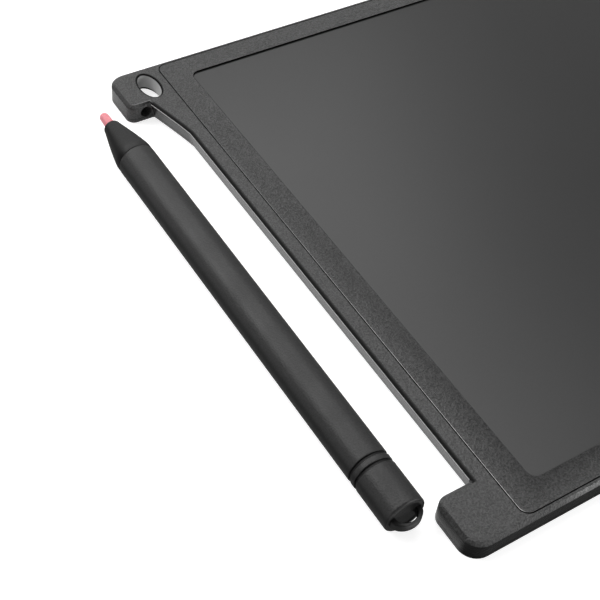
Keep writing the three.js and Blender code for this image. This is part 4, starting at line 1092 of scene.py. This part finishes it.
# A pale sheet; eyes and glossy rays see it a little brighter, and shadows still fall on it.
def makeFloor():
    half = room["floorSize"] / 2
    mesh = bpy.data.meshes.new("floor")
    low = -room["floorGap"] * mm
    corners = [(-half, -half, low), (half, -half, low), (half, half, low), (-half, half, low)]
    mesh.from_pydata(corners, [], [(0, 1, 2, 3)])
    floor = bpy.data.objects.new("floor", mesh)
    scene.collection.objects.link(floor)
    material = newMaterial("pale floor")
    tree = material.node_tree
    path = addNode(tree, "ShaderNodeLightPath").outputs
    straight = addNode(tree, "ShaderNodeMath", {
        "operation": "MAXIMUM", 0: path["Is Camera Ray"], 1: path["Is Transmission Ray"],
    }).outputs[0]
    mirrored = addNode(tree, "ShaderNodeMath", {
        "operation": "MULTIPLY", 0: path["Is Glossy Ray"], 1: room["glowReflected"],
    }).outputs[0]
    glow = addNode(tree, "ShaderNodeMath", {
        "operation": "MULTIPLY_ADD", 0: straight, 1: room["glowSeen"], 2: mirrored,
    }).outputs[0]
    light = addNode(tree, "ShaderNodeEmission", {"Color": linear(0xFFFFFF), "Strength": glow})
    sheet = addNode(tree, "ShaderNodeBsdfDiffuse", {"Color": linear(room["floorColour"])})
    both = addNode(tree, "ShaderNodeAddShader", {0: sheet.outputs[0], 1: light.outputs[0]})
    addNode(tree, "ShaderNodeOutputMaterial", {"Surface": both.outputs[0]})
    mesh.materials.append(material)


# Middle and size in metres, and watts. A lamp with a turn, in degrees, is a sheet that lies flat
# overhead, and the others look at the middle of the tablet.
lamps = {
    "overhead": {"place": (-0.45, 1.25, 1.3), "size": (2.7, 1.4), "power": 28, "turn": -22},
    "frontCorner": {"place": (0.57, 0.4, 1.3), "size": (0.4, 0.45), "power": 1.6, "turn": -22},
    "upLeft": {"place": (-0.95, 0.8, 1.15), "size": (0.8, 0.7), "power": 7},
    "frontLow": {"place": (0.8, -1.17, 0.38), "size": (0.5, 0.35), "power": 8},
}


def makeLamps():
    for name, lamp in lamps.items():
        data = bpy.data.lights.new(name, "AREA")
        data.shape = "RECTANGLE"
        data.size, data.size_y = lamp["size"]
        data.energy = lamp["power"]
        light = bpy.data.objects.new(name, data)
        light.location = lamp["place"]
        if "turn" in lamp:
            light.rotation_euler = (0, 0, math.radians(lamp["turn"]))
        else:
            light.rotation_euler = (-Vector(lamp["place"])).to_track_quat("-Z", "Y").to_euler()
        scene.collection.objects.link(light)


# The room's light by direction: dim on the stylus's side, lighter the other way; white to the eye.
def makeRoom():
    world = bpy.data.worlds.new("room")
    scene.world = world
    world.use_nodes = True
    tree = world.node_tree
    tree.nodes.clear()
    direction = addNode(tree, "ShaderNodeTexCoord").outputs["Generated"]
    across = addNode(tree, "ShaderNodeSeparateXYZ", {0: direction}).outputs["X"]
    dimAcross, lightAcross = room["fade"]
    level = addNode(tree, "ShaderNodeMapRange", {
        "interpolation_type": "SMOOTHSTEP", "Value": across, "From Min": dimAcross,
        "From Max": lightAcross, "To Min": room["dimSide"], "To Max": room["lightSide"],
    }).outputs["Result"]
    seen = addNode(tree, "ShaderNodeLightPath").outputs["Is Camera Ray"]
    strength = addNode(tree, "ShaderNodeMix", {
        "data_type": "FLOAT", 0: seen, 2: level, 3: room["white"],
    }).outputs[0]
    back = addNode(tree, "ShaderNodeBackground", {"Color": linear(0xFFFFFF), "Strength": strength})
    addNode(tree, "ShaderNodeOutputWorld", {"Surface": back.outputs[0]})


makeFloor()
makeLamps()
makeRoom()
scene.view_settings.view_transform = "Standard"
print("floor, lamps and room made")
